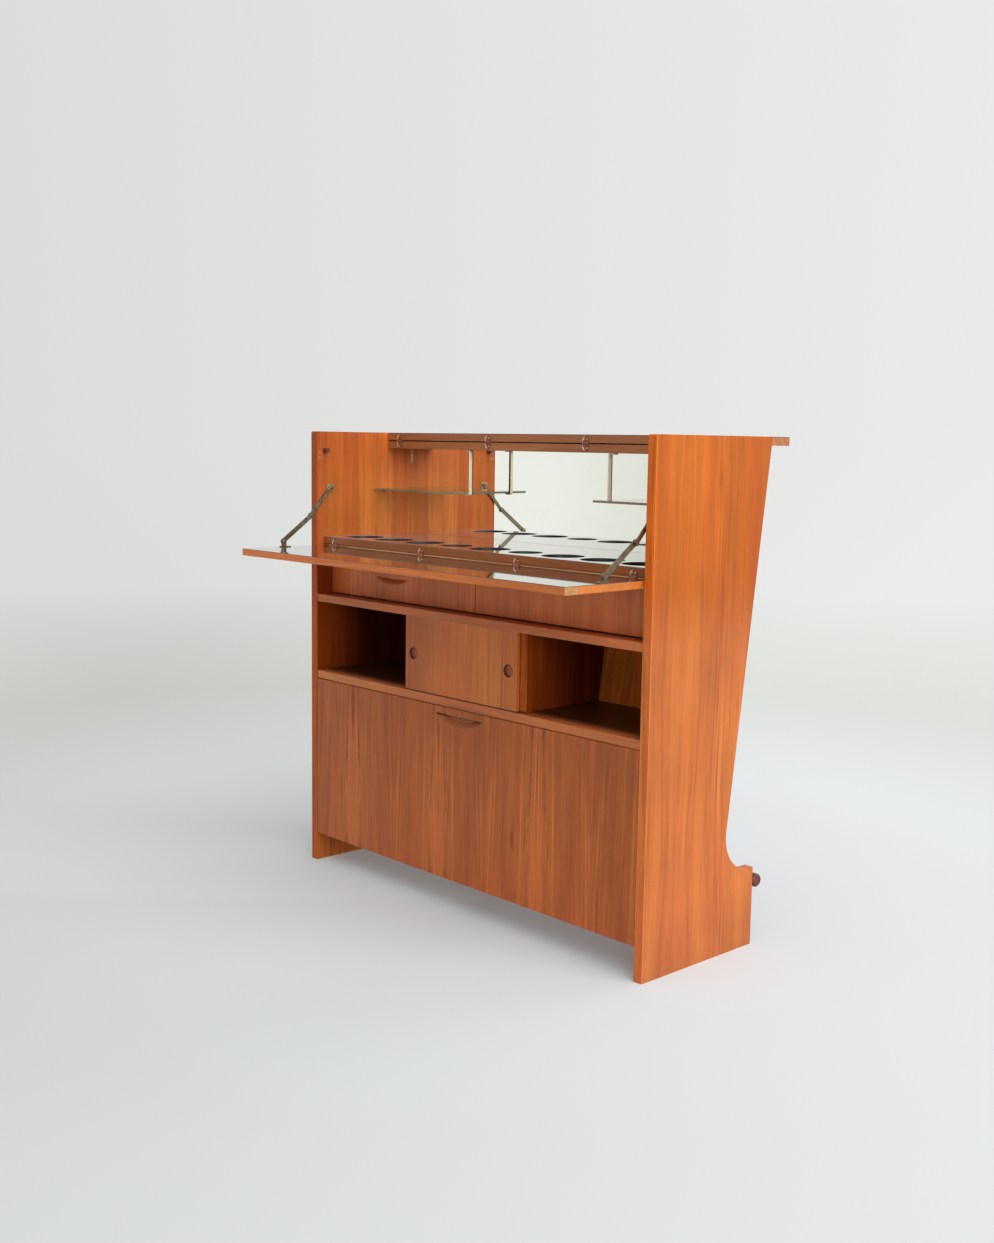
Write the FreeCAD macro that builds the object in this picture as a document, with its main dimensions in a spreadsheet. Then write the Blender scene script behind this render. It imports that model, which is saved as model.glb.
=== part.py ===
import FreeCAD, Part
import Sketcher
import math
import os
import re

# A teak bar cabinet, seen from the bartender's side. X runs along the front, Y from the front to the
# guest side and Z up from the floor. The counter leaf is folded back and the drop flap stands open.

# Driving sizes in millimetres. Depths count from the front edges of the side panels, heights from the
# floor and distances along X from the middle of the cabinet, unless a name says otherwise.
SIZES = {
    # side panels and back
    "cabinet_width": 1094,
    "cabinet_height": 1060,
    "panel_thickness": 21,
    "panel_top_depth": 356,
    "lean_foot_depth": 217,
    "cove_radius": 81,
    "boot_depth": 345,
    "boot_height": 167,
    "nose_radius": 4,
    "back_recess": 12,
    "back_thickness": 20,
    # boards
    "board_thickness": 18,
    "shelf_setback": 2.5,
    "niche_height": 170,
    "drawer_row_height": 123.5,
    "compartment_height": 213,
    "top_board_front": 220,
    "top_board_recess": 2,
    "floor_thickness": 16,
    "laminate_thickness": 1,
    "well_base_thickness": 12,
    "well_base_margin": 12,
    # bottle holes
    "bottle_pitch_share": 0.10646,
    "bottle_row_depth": 88,
    "bottle_hole_radius": 46,
    "small_hole_radius": 37.5,
    # mirror and glass shelves
    "mirror_thickness": 4,
    "mirror_side_gap": 0.5,
    "mirror_rebate": 6,
    "batten_height": 20,
    "glass_front": 174.5,
    "glass_length": 301.5,
    "glass_drop": 103.5,
    "glass_thickness": 5,
    "glass_gap": 0.5,
    "strap_front": 222,
    "strap_width": 12,
    "strap_thickness": 3,
    "strap_gap": 0.3,
    "strap_hook": 14,
    "strap_tab": 18,
    "shelf_peg_radius": 2.5,
    "shelf_peg_reach": 9,
    "shelf_peg_bite": 8,
    "shelf_peg_inset": 30,
    # counter leaf
    "leaf_thickness": 18,
    "leaf_depth": 224,
    "leaf_gap": 3,
    "leaf_side_gap": 1,
    "buffer_radius": 7,
    "buffer_play": 0.2,
    "buffer_edge": 29,
    "buffer_inset": 50,
    # hinges
    "hinge_plate": 1.2,
    "hinge_play": 0.2,
    "hinge_width": 20,
    "hinge_pin_radius": 0.7,
    "hinge_pin_fit": 0.1,
    "hinge_knuckle_gap": 0.2,
    "knuckle_radius": 2.2,
    "knuckle_clearance": 0.4,
    "leaf_knuckle_radius": 1.5,
    "flap_hinge_height": 15,
    "leaf_hinge_height": 16,
    "door_hinge_height": 16,
    "hinge_inset": 46,
    "hinge_inner_share": 0.325,
    # drop flap
    "flap_setback": 2.5,
    "flap_thickness": 16,
    "flap_side_gap": 2,
    "flap_top_clearance": 1.5,
    "latch_length": 33,
    "latch_plate": 1.5,
    "latch_stud_radius": 3,
    "latch_stud_reach": 0.8,
    "strike_height": 20,
    "strike_width": 13,
    "strike_plate": 1.2,
    "strike_hole_gap": 0.6,
    "peg_radius": 5.7,
    "peg_gap": 0.3,
    "peg_reach": 13,
    "peg_bite": 10,
    # folding stays of the flap
    "stay_wall_depth": 40,
    "stay_wall_rise": 117,
    "stay_knuckle_depth": -21,
    "stay_knuckle_rise": 50.6,
    "stay_foot_depth": -102,
    "stay_foot_rise": 13,
    "stay_link_thickness": 3,
    "stay_play": 0.3,
    "stay_plate": 2,
    "stay_plate_width": 20,
    "stay_plate_height": 17,
    "stay_eye_radius": 6.5,
    "stay_upper_width": 9,
    "stay_lower_width": 11,
    "stay_pin_radius": 2.5,
    "stay_pin_fit": 0.1,
    "stay_head_radius": 5,
    "stay_head_height": 1.2,
    "stay_ear_thickness": 2.5,
    "stay_foot_length": 24,
    "stay_foot_width": 13,
    # sliding doors and niches
    "sliding_setback": 6,
    "sliding_thickness": 8,
    "sliding_spacing": 3,
    "sliding_overlap": 8,
    "sliding_shift": 6,
    "groove_play": 0.5,
    "lower_groove": 4,
    "upper_groove": 9,
    "upper_engagement": 4,
    "finger_radius": 12.5,
    "finger_depth": 5.5,
    "finger_inset": 27,
    "divider_share": 0.3327,
    "divider_thickness": 12,
    "divider_clearance": 1.5,
    # drawers
    "drawer_setback": 46,
    "drawer_top_gap": 23.5,
    "drawer_front_thickness": 15,
    "drawer_gap": 1.2,
    "drawer_lift": 2,
    "drawer_side_thickness": 12,
    "drawer_side_drop": 10.5,
    "drawer_side_play": 2,
    "drawer_depth": 195,
    "drawer_back_thickness": 10,
    "drawer_back_drop": 20.5,
    "drawer_bottom_thickness": 5,
    "partition_thickness": 18,
    "runner_height": 10,
    "runner_rise": 42.5,
    "runner_depth": 6,
    "runner_play": 0.4,
    "runner_setback": 4,
    # carved pulls
    "door_pull_width": 157,
    "door_pull_rise": 25,
    "drawer_pull_width": 122,
    "drawer_pull_rise": 15,
    "drawer_pull_offset": 29,
    "drawer_notch_radius": 40,
    "drawer_notch_depth": 9,
    "pull_depth": 11,
    "pull_flare": 12,
    "pull_lip": 4,
    "pull_undercut": 7,
    "door_pull_drop": 15.8,
    "drawer_pull_drop": 46,
    # fall-front door
    "door_setback": 0.5,
    "door_thickness": 18,
    "door_bottom": 69.6,
    "door_side_gap": 1.5,
    "door_top_gap": 2.7,
    "catch_share": 0.57,
    "catch_width": 40,
    "catch_depth": 14,
    "catch_height": 13,
    "catch_plate": 1.5,
    "catch_gap": 0.3,
    "catch_margin": 2,
    # slotted stay arms of the fall-front door
    "arm_foot_share": 0.281,
    "arm_foot_offset": 8,
    "arm_pin_depth": 75,
    "arm_pin_share": 0.421,
    "arm_pin_reach": 4.4,
    "arm_pin_radius": 4,
    "arm_thickness": 2.5,
    "arm_width": 15,
    "arm_slot_spare": 9,
    "arm_slot_width": 8.6,
    # foot rail
    "rail_radius": 14,
    "rail_height": 135,
    "rail_overhang": 3,
    "rail_chamfer": 3,
    "rail_screw_radius": 3,
    "rail_screw_bite": 38,
    "rail_head_radius": 6,
    "rail_head_height": 4,
    "rail_head_sink": 7,
    # one overrun serves every cutting tool
    "overrun": 2,
}

# Lengths that follow from the driving sizes, each a formula in their names.
DERIVED = {
    "inner_half": "cabinet_width / 2 - panel_thickness",
    "back_slope": "(panel_top_depth - lean_foot_depth) / cabinet_height",
    "lean_stretch": "sqrt(1 + back_slope * back_slope)",
    "cove_height": "boot_height + cove_radius",
    "cove_depth": "lean_foot_depth + back_slope * cove_height + cove_radius * lean_stretch",
    "leaf_top": "cabinet_height",
    "leaf_bottom": "leaf_top - leaf_thickness",
    "top_board_top": "leaf_bottom - leaf_gap",
    "top_board_bottom": "top_board_top - board_thickness",
    "top_board_rear": "lean_foot_depth + back_slope * top_board_top - top_board_recess",
    "buffer_depth": "top_board_rear - buffer_edge",
    "floor_top": "top_board_bottom - compartment_height",
    "floor_board_top": "floor_top - laminate_thickness",
    "floor_bottom": "floor_board_top - floor_thickness",
    "upper_shelf_top": "floor_bottom - drawer_row_height",
    "upper_shelf_bottom": "upper_shelf_top - board_thickness",
    "lower_shelf_top": "upper_shelf_bottom - niche_height",
    "lower_shelf_bottom": "lower_shelf_top - board_thickness",
    "bottle_pitch": "2 * inner_half * bottle_pitch_share",
    "hinge_outer": "inner_half - hinge_inset",
    "hinge_inner": "hinge_outer * hinge_inner_share",
    "buffer_outer": "hinge_outer - buffer_inset",
    "buffer_inner": "hinge_inner + buffer_inset",
    "hinge_reach": "hinge_plate + hinge_play / 2",
    "hinge_half_play": "hinge_play / 2",
    "knuckle_room": "knuckle_radius + knuckle_clearance",
    "leaf_axis_y": "top_board_front - hinge_reach",
    "leaf_axis_z": "leaf_bottom - leaf_gap / 2",
    "flap_inner": "flap_setback + flap_thickness",
    "flap_axis_y": "flap_inner + hinge_reach",
    "flap_axis_z": "floor_bottom - knuckle_room",
    "flap_top": "flap_axis_z - hinge_reach",
    "flap_board_top": "flap_top - laminate_thickness",
    "flap_bottom": "flap_top - flap_thickness",
    "flap_rear": "flap_axis_y - knuckle_room",
    "flap_length": "top_board_bottom - flap_top_clearance - flap_axis_z - knuckle_room",
    "flap_reach": "flap_rear - flap_length",
    "flap_end": "inner_half - flap_side_gap",
    "floor_front": "flap_axis_y + hinge_reach",
    "front": "-(top_board_front + leaf_depth + flap_reach) / 2",
    "stud_y": "flap_reach + latch_length / 2",
    "stud_z": "flap_top - flap_thickness / 2",
    "strike_y": "flap_axis_y + stud_z - flap_axis_z",
    "strike_z": "flap_axis_z + flap_axis_y - stud_y",
    "peg_y": "flap_inner + peg_gap + peg_radius",
    "peg_z": "top_board_bottom - peg_gap - peg_radius",
    "glass_bottom": "top_board_bottom - glass_drop",
    "glass_end": "inner_half - glass_gap - glass_length",
    "shelf_peg_z": "glass_bottom - shelf_peg_radius",
    "strap_outer": "glass_end - strap_gap",
    "strap_inner": "strap_outer - strap_thickness",
    "stay_wall_height": "floor_top + stay_wall_rise",
    "stay_knuckle_height": "floor_top + stay_knuckle_rise",
    "stay_foot_z": "flap_top + stay_foot_rise",
    "stay_plate_face": "inner_half - stay_plate",
    "upper_link_outer": "stay_plate_face - stay_play",
    "upper_link_inner": "upper_link_outer - stay_link_thickness",
    "lower_link_outer": "upper_link_inner - stay_play",
    "lower_link_inner": "lower_link_outer - stay_link_thickness",
    "stay_ear_outer": "lower_link_inner - stay_play",
    "stay_ear_inner": "stay_ear_outer - stay_ear_thickness",
    "divider_inner": "inner_half * divider_share",
    "sliding_length": "2 * (divider_inner + sliding_overlap)",
    "sliding_second": "sliding_setback + sliding_thickness + sliding_spacing",
    "sliding_bottom": "lower_shelf_top - lower_groove + groove_play",
    "sliding_top": "upper_shelf_bottom + upper_engagement",
    "finger_height": "(lower_shelf_top + upper_shelf_bottom) / 2",
    "divider_front": "sliding_second + sliding_thickness + divider_clearance",
    "drawer_top": "floor_bottom - drawer_top_gap",
    "drawer_side_top": "drawer_top - drawer_side_drop",
    "drawer_back_top": "drawer_top - drawer_back_drop",
    "drawer_pull_height": "drawer_top - drawer_pull_drop",
    "runner_level": "upper_shelf_top + runner_rise",
    "drawer_bottom": "upper_shelf_top + drawer_lift",
    "drawer_box_front": "drawer_setback + drawer_front_thickness",
    "drawer_box_rear": "drawer_box_front + drawer_depth",
    "drawer_side_bottom": "drawer_bottom + drawer_bottom_thickness",
    "drawer_outer": "inner_half - drawer_side_play",
    "drawer_inner": "partition_thickness / 2 + drawer_side_play",
    "drawer_middle": "inner_half / 2",
    "well_base_bottom": "floor_bottom - well_base_thickness",
    "door_inner": "door_setback + door_thickness",
    "door_axis_y": "door_inner + hinge_reach",
    "door_axis_z": "door_bottom - knuckle_room",
    "door_top": "lower_shelf_bottom - door_top_gap",
    "door_pull_height": "door_top - door_pull_drop",
    "catch_place": "inner_half * catch_share",
    "bottom_board_front": "door_axis_y + hinge_reach",
    "bottom_board_top": "door_bottom + board_thickness",
    "arm_foot_y": "door_inner + arm_foot_offset",
    "arm_foot_rise": "(door_top - door_axis_z) * arm_foot_share",
    "arm_pin_rise": "(door_top - door_axis_z) * arm_pin_share",
    "arm_foot_z": "door_axis_z + arm_foot_rise",
    "arm_pin_height": "door_axis_z + arm_pin_rise",
    "arm_shut_y": "arm_pin_depth - arm_foot_y",
    "arm_shut_z": "arm_pin_rise - arm_foot_rise",
    "arm_open_y": "arm_pin_depth - door_axis_y + arm_foot_rise",
    "arm_open_z": "arm_pin_rise - arm_foot_y + door_axis_y",
    "arm_slot_start": "sqrt(arm_shut_y * arm_shut_y + arm_shut_z * arm_shut_z) - arm_slot_spare",
    "arm_length": "sqrt(arm_open_y * arm_open_y + arm_open_z * arm_open_z) + arm_slot_spare",
    "arm_outer": "inner_half - arm_pin_reach - stay_play",
    "arm_inner": "arm_outer - arm_thickness",
    "arm_ear_outer": "arm_inner - stay_play",
    "arm_ear_inner": "arm_ear_outer - stay_ear_thickness",
    "rail_depth": "boot_depth + rail_radius",
    "rail_end": "cabinet_width / 2 + rail_overhang",
    "rail_rear": "boot_depth + 2 * rail_radius",
    "rail_screw_x": "cabinet_width / 2 - panel_thickness / 2",
}

FUNCTIONS = {"sqrt"}
WORD = re.compile(r"[a-z_]+")
AXES = {"x": FreeCAD.Vector(1, 0, 0), "y": FreeCAD.Vector(0, 1, 0), "z": FreeCAD.Vector(0, 0, 1)}

# The sketches' own origin, as the pair (geometry, point) that a constraint takes.
SKETCH_ORIGIN = (-1, 1)

doc = FreeCAD.newDocument("BarCabinet")
sheet = doc.addObject("Spreadsheet::Sheet", "Sizes")
for row, (alias, number) in enumerate(SIZES.items(), start=1):
    sheet.set(f"A{row}", str(number))
    sheet.setAlias(f"A{row}", alias)
doc.recompute()

sub_parts = []


def formula(text):
    """Spell a formula of named and derived lengths as an expression on the sheet."""
    def spell(match):
        word = match.group(0)
        if word in FUNCTIONS:
            return word
        if word in DERIVED:
            return "(" + formula(DERIVED[word]) + ")"
        return "Sizes." + word
    return WORD.sub(spell, text)


def value(text):
    """Work a formula out as a number."""
    return float(sheet.evalExpression(formula(text)))


def rear(height):
    """Depth of the side panels' leaning rear line at a height."""
    return f"(lean_foot_depth + back_slope * ({height}))"


def back_face(height):
    """Depth of the back panel's inner face at a height."""
    return f"({rear(height)} - back_recess - back_thickness)"


def sided(side, low, high):
    """A span along X on the right side, or its mirror image on the left side."""
    if side == "right":
        return (low, high)
    return (f"-({high})", f"-({low})")


def centred(middle, width):
    """A span of some width about a middle."""
    return (f"{middle} - {width} / 2", f"{middle} + {width} / 2")


def place(shape, x, y, z):
    """Put the base point of a shape at three formulas, with y counted from the front edges."""
    shape.setExpression("Placement.Base.x", formula(x))
    shape.setExpression("Placement.Base.y", formula(f"front + {y}"))
    shape.setExpression("Placement.Base.z", formula(z))


def box(name, x, y, z):
    """A box between two faces on each axis."""
    shape = doc.addObject("Part::Box", name)
    for side, (low, high) in (("Length", x), ("Width", y), ("Height", z)):
        shape.setExpression(side, formula(f"{high} - ({low})"))
    place(shape, x[0], y[0], z[0])
    return shape


def rod(name, axis, span, centre, radius):
    """A cylinder along an axis, from one end to the other, about a centre on the other two axes."""
    shape = doc.addObject("Part::Cylinder", name)
    shape.Placement = FreeCAD.Placement(FreeCAD.Vector(), FreeCAD.Rotation(AXES["z"], AXES[axis]))
    shape.setExpression("Radius", formula(radius))
    shape.setExpression("Height", formula(f"{span[1]} - ({span[0]})"))
    others = list(centre)
    place(shape, *(span[0] if letter == axis else others.pop(0) for letter in AXES))
    return shape


def cone(name, axis, span, centre, radii):
    """A truncated cone along an axis, with its radius at each end."""
    shape = doc.addObject("Part::Cone", name)
    shape.Placement = FreeCAD.Placement(FreeCAD.Vector(), FreeCAD.Rotation(AXES["z"], AXES[axis]))
    shape.setExpression("Radius1", formula(radii[0]))
    shape.setExpression("Radius2", formula(radii[1]))
    shape.setExpression("Height", formula(f"{span[1]} - ({span[0]})"))
    others = list(centre)
    place(shape, *(span[0] if letter == axis else others.pop(0) for letter in AXES))
    return shape


def group(name, shapes):
    """Separate solids kept side by side."""
    shape = doc.addObject("Part::Compound", name)
    shape.Links = shapes
    return shape


def fuse(name, shapes):
    """One solid out of several that touch or overlap."""
    shape = doc.addObject("Part::MultiFuse", name)
    shape.Shapes = shapes
    return shape


def cut(name, blank, tools):
    """A blank with its cutting tools taken out."""
    shape = doc.addObject("Part::Cut", name)
    shape.Base = blank
    shape.Tool = group(name + "_tools", tools)
    return shape


def common(name, first, second):
    """What two shapes share."""
    shape = doc.addObject("Part::Common", name)
    shape.Base = first
    shape.Tool = second
    return shape


def sub_part(shape, label):
    """Count a shape as a finished piece of the cabinet."""
    shape.Label = label
    sub_parts.append(shape)
    return shape


def bend_centre(start, end, radius, hollow):
    """Centre of the arc of a radius between two corners of an outline that runs anticlockwise."""
    middle_y = (start[0] + end[0]) / 2
    middle_z = (start[1] + end[1]) / 2
    run_y = end[0] - start[0]
    run_z = end[1] - start[1]
    chord = math.hypot(run_y, run_z)
    offset = math.sqrt(max(radius * radius - chord * chord / 4, 0))
    turn = -1 if hollow else 1
    return (middle_y - turn * offset * run_z / chord, middle_z + turn * offset * run_y / chord)


def profile(name, corners, x, bends=None):
    """A body whose outline lies in the side view and is padded along X between two faces.

    Corners are (depth, height) formulas, anticlockwise with the guest side to the right. Bends gives,
    by the number of the corner where the edge starts, an arc's radius and whether it is hollow.
    """
    bends = bends or {}
    body = doc.addObject("PartDesign::Body", name)
    sketch = body.newObject("Sketcher::SketchObject", name + "_outline")
    plane = [feature for feature in body.Origin.OriginFeatures if feature.Role == "YZ_Plane"][0]
    sketch.AttachmentSupport = (plane, [""])
    sketch.MapMode = "FlatFace"
    sketch.setExpression("AttachmentOffset.Base.z", formula(x[0]))
    places = [(value(depth), value(height)) for depth, height in corners]
    points = [FreeCAD.Vector(depth, height, 0) for depth, height in places]
    ends = []
    for number, start in enumerate(points):
        after = (number + 1) % len(points)
        if number not in bends:
            edge = sketch.addGeometry(Part.LineSegment(start, points[after]))
            ends.append((edge, 1, 2))
            continue
        radius, hollow = bends[number]
        centre = bend_centre(places[number], places[after], value(radius), hollow)
        circle = Part.Circle(FreeCAD.Vector(*centre, 0), AXES["z"], value(radius))
        first, last = (points[after], start) if hollow else (start, points[after])
        angles = [math.atan2(point.y - centre[1], point.x - centre[0]) for point in (first, last)]
        edge = sketch.addGeometry(Part.ArcOfCircle(circle, *angles))
        ends.append((edge, 2, 1) if hollow else (edge, 1, 2))
        constraint = sketch.addConstraint(Sketcher.Constraint("Radius", edge, value(radius)))
        sketch.renameConstraint(constraint, f"radius_{number}")
        sketch.setExpression(f"Constraints.radius_{number}", formula(radius))
    for number, (edge, first, last) in enumerate(ends):
        following, start = ends[(number + 1) % len(ends)][:2]
        sketch.addConstraint(Sketcher.Constraint("Coincident", edge, last, following, start))
        for kind, text, distance in zip(("DistanceX", "DistanceY"), corners[number], places[number]):
            constraint = sketch.addConstraint(
                Sketcher.Constraint(kind, *SKETCH_ORIGIN, edge, first, distance))
            sketch.renameConstraint(constraint, f"{kind}_{number}")
            sketch.setExpression(f"Constraints.{kind}_{number}", formula(text))
    pad = body.newObject("PartDesign::Pad", name + "_pad")
    pad.Profile = sketch
    pad.setExpression("Length", formula(f"{x[1]} - ({x[0]})"))
    body.setExpression("Placement.Base.y", formula("front"))
    return body


def carved_pull(name, middle, lip, face, width, rise):
    """Cutting tools of a carved pull: a scoop that rises behind a straight lip, and a finger groove.

    The scoop is a wide cone cut off level at the lip, so that its lower rim is an arc on the face.
    """
    radius = f"(({width} * {width} / 4 + {rise} * {rise}) / (2 * {rise}))"
    centre = f"{lip} - {rise} + {radius}"
    deep = f"{face} + pull_depth"
    start = f"{face} - overrun"
    flare = "pull_flare / pull_depth"
    scoop = cone(
        name + "_scoop", "y", (start, deep), (middle, centre),
        (f"{radius} + overrun * {flare}", f"{radius} - pull_flare"))
    mouth = box(
        name + "_mouth", centred(middle, width), (start, deep), (f"{lip} - {rise} - overrun", lip))
    groove = box(
        name + "_groove", centred(middle, f"{width} / 2"), (f"{face} + pull_lip", deep),
        (f"{lip} - pull_lip", f"{lip} + pull_undercut"))
    return [common(name, scoop, mouth), groove]


def hinge_plate(name, middle, axis_y, axis_z, skin, length, way):
    """A plate that runs from the hinge line up, down or to the front, and ends in a half round.

    Skin is the plate's front and rear face or, where it runs to the front, its lower and upper face.
    """
    radius = "hinge_width / 2"
    across = centred(middle, "hinge_width")
    if way == "front":
        tip = f"{axis_y} - {length}"
        blank = box(name + "_blank", across, (tip, axis_y), skin)
        centre = f"{tip} + {radius}"
        strip = box(name + "_strip", across, (centre, axis_y), skin)
        end = rod(name + "_end", "z", skin, (middle, centre), radius)
    else:
        tip = f"{axis_z} + {length}" if way == "up" else f"{axis_z} - {length}"
        heights = (axis_z, tip) if way == "up" else (tip, axis_z)
        blank = box(name + "_blank", across, skin, heights)
        centre = f"{tip} - {radius}" if way == "up" else f"{tip} + {radius}"
        heights = (axis_z, centre) if way == "up" else (centre, axis_z)
        strip = box(name + "_strip", across, skin, heights)
        end = rod(name + "_end", "y", skin, (middle, centre), radius)
    return common(name, fuse(name + "_long", [strip, end]), blank)


def hinge_leaf(name, middle, axis_y, axis_z, plate, radius, fixed):
    """One leaf of a butt hinge: its plate, its share of the knuckle and, on the fixed leaf, the pin.

    The fixed leaf has the outer two knuckles and the moving leaf the middle one, bored for the pin.
    """
    third = "hinge_width / 3"
    low, high = centred(middle, "hinge_width")
    centre = (axis_y, axis_z)
    left_end = f"{low} + {third}"
    right_end = f"{high} - {third}"
    room_y = (f"{axis_y} - {radius} - hinge_knuckle_gap", f"{axis_y} + {radius} + hinge_knuckle_gap")
    room_z = (f"{axis_z} - {radius} - hinge_knuckle_gap", f"{axis_z} + {radius} + hinge_knuckle_gap")
    whole_plate = hinge_plate(name + "_plate", middle, axis_y, axis_z, *plate)
    if fixed:
        room = box(name + "_room", (left_end, right_end), room_y, room_z)
        return fuse(name, [
            cut(name + "_bare", whole_plate, [room]),
            rod(name + "_knuckle_a", "x", (low, f"{left_end} - hinge_knuckle_gap"), centre, radius),
            rod(name + "_knuckle_b", "x", (f"{right_end} + hinge_knuckle_gap", high), centre, radius),
            rod(name + "_pin", "x", (low, high), centre, "hinge_pin_radius"),
        ])
    rooms = [
        box(name + "_room_a", (f"{low} - overrun", left_end), room_y, room_z),
        box(name + "_room_b", (right_end, f"{high} + overrun"), room_y, room_z),
    ]
    knuckle = rod(name + "_knuckle", "x", (left_end, right_end), centre, radius)
    bore = rod(
        name + "_bore", "x", (f"{low} - overrun", f"{high} + overrun"), centre,
        "hinge_pin_radius + hinge_pin_fit")
    return cut(
        name, fuse(name + "_solid", [cut(name + "_bare", whole_plate, rooms), knuckle]), [bore])


def hinge_row(label, axis_y, axis_z, plate, radius, fixed):
    """The like leaves of one row of hinges, with plate as the skin, length and way of their plates."""
    middles = ["-hinge_outer", "-hinge_inner", "hinge_inner", "hinge_outer"]
    leaves = [
        hinge_leaf(f"{label}_{number}", middle, axis_y, axis_z, plate, radius, fixed)
        for number, middle in enumerate(middles, start=1)
    ]
    return sub_part(group(label + "_row", leaves), label)


def bar(name, x, start, end, width, length=None, bores=()):
    """A flat bar in a plane of the side view, from one pivot towards another, with round ends.

    It is laid out along +Y from its first pivot and then turned to point at the second one. Bores gives
    holes as (distance, radius) and slots as (distance, end distance, width).
    """
    run_y = f"({end[0]} - ({start[0]}))"
    run_z = f"({end[1]} - ({start[1]}))"
    reach = length or f"sqrt({run_y} * {run_y} + {run_z} * {run_z})"
    thickness = f"({x[1]} - ({x[0]}))"

    def disc(part_name, distance, radius, overrun):
        piece = doc.addObject("Part::Cylinder", part_name)
        piece.Placement = FreeCAD.Placement(FreeCAD.Vector(), FreeCAD.Rotation(AXES["z"], AXES["x"]))
        piece.setExpression("Radius", formula(radius))
        piece.setExpression("Height", formula(f"{thickness} + 2 * {overrun}"))
        piece.setExpression("Placement.Base.x", formula(f"0 - {overrun}"))
        piece.setExpression("Placement.Base.y", formula(distance))
        return piece

    def strip(part_name, near, far, strip_width, overrun):
        piece = doc.addObject("Part::Box", part_name)
        piece.setExpression("Length", formula(f"{thickness} + 2 * {overrun}"))
        piece.setExpression("Width", formula(f"{far} - {near}"))
        piece.setExpression("Height", formula(strip_width))
        piece.setExpression("Placement.Base.x", formula(f"0 - {overrun}"))
        piece.setExpression("Placement.Base.y", formula(near))
        piece.setExpression("Placement.Base.z", formula(f"0 - {strip_width} / 2"))
        return piece

    solids = [
        strip(name + "_strip", "0", reach, width, "0"),
        disc(name + "_near_end", "0", "stay_eye_radius" if not length else f"{width} / 2", "0"),
        disc(name + "_far_end", reach, "stay_eye_radius" if not length else f"{width} / 2", "0"),
    ]
    tools = []
    for number, bore in enumerate(bores):
        if len(bore) == 2:
            tools.append(disc(f"{name}_bore_{number}", bore[0], bore[1], "overrun"))
            continue
        near, far, slot_width = bore
        tools.append(strip(f"{name}_slot_{number}", near, far, slot_width, "overrun"))
        tools.append(disc(f"{name}_slot_{number}_near", near, f"{slot_width} / 2", "overrun"))
        tools.append(disc(f"{name}_slot_{number}_far", far, f"{slot_width} / 2", "overrun"))
    flat = cut(name, fuse(name + "_solid", solids), tools)
    turn = math.degrees(math.atan2(value(run_z), value(run_y)))
    flat.Placement = FreeCAD.Placement(FreeCAD.Vector(), FreeCAD.Rotation(AXES["x"], turn))
    place(flat, x[0], start[0], start[1])
    return flat


full_width = ("-inner_half", "inner_half")

# Side panels: straight front edge, leaning rear edge, a hollow cove and a boot that stands on the floor.
cove_point = ("cove_depth - cove_radius / lean_stretch",
              "cove_height + cove_radius * back_slope / lean_stretch")
panel_outline = [
    ("0", "0"),
    ("boot_depth", "0"),
    ("boot_depth", "boot_height"),
    ("cove_depth", "boot_height"),
    cove_point,
    ("panel_top_depth", "cabinet_height"),
    ("nose_radius", "cabinet_height"),
    ("0", "cabinet_height - nose_radius"),
]
peg_depths = ["glass_front + shelf_peg_inset", f"{back_face('floor_top')} - shelf_peg_inset"]
for side in ("left", "right"):
    name = f"side_panel_{side}"
    blank = profile(
        name + "_blank", panel_outline, sided(side, "inner_half", "cabinet_width / 2"),
        bends={3: ("cove_radius", True), 6: ("nose_radius", False)})
    tools = [
        rod(f"{name}_peg_hole", "x", sided(side, "inner_half - overrun", "inner_half + peg_bite"),
            ("peg_y", "peg_z"), "peg_radius"),
        box(f"{name}_strike_recess", sided(side, "inner_half - overrun", "inner_half + strike_plate"),
            centred("strike_y", "strike_width"), centred("strike_z", "strike_height")),
        rod(f"{name}_rail_hole", "y", ("boot_depth - rail_screw_bite", "boot_depth + overrun"),
            (sided(side, "rail_screw_x", "rail_screw_x")[0], "rail_height"), "rail_screw_radius"),
    ]
    for number, depth in enumerate(peg_depths):
        tools.append(
            rod(f"{name}_shelf_peg_hole_{number}", "x",
                sided(side, "inner_half - overrun", "inner_half + shelf_peg_bite"),
                (depth, "shelf_peg_z"), "shelf_peg_radius"))
    sub_part(cut(name + "_cut", blank, tools), name)

# Back panel, leaning like the side panels' rear edges and set in between them. The foot of the upright
# mirror stands in a rebate in its face.
mirror_rear = f"({back_face('floor_top')} + mirror_rebate)"
mirror_front = f"({mirror_rear} - mirror_thickness)"
back_board = profile("back_panel_board", [
    (back_face("door_bottom"), "door_bottom"),
    (f"{back_face('door_bottom')} + back_thickness", "door_bottom"),
    (f"{back_face('top_board_bottom')} + back_thickness", "top_board_bottom"),
    (back_face("top_board_bottom"), "top_board_bottom"),
], full_width)
mirror_seat = box("back_panel_rebate", full_width, (f"{mirror_front} - overrun", mirror_rear),
                  ("floor_top", "top_board_bottom"))
sub_part(cut("back_panel_cut", back_board, [mirror_seat]), "back_panel")


def shelf(name, start, low, high):
    """A board between the side panels from a front edge back to the leaning back panel."""
    return profile(name, [(start, low), (back_face(low), low), (back_face(high), high), (start, high)],
                   full_width)


# Fixed top board, flush with the leaning rear edges but for a small recess.
sub_part(
    profile("fixed_top_board", [
        ("top_board_front", "top_board_bottom"),
        (f"{rear('top_board_bottom')} - top_board_recess", "top_board_bottom"),
        (f"{rear('top_board_top')} - top_board_recess", "top_board_top"),
        ("top_board_front", "top_board_top"),
    ], full_width), "fixed_top")

# Compartment floor with its row of bottle holes: wide ones, but for the two beside the middle one.
holes = [(place_share, "small_hole_radius" if abs(place_share) == 1 else "bottle_hole_radius")
         for place_share in range(-4, 5)]


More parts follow.
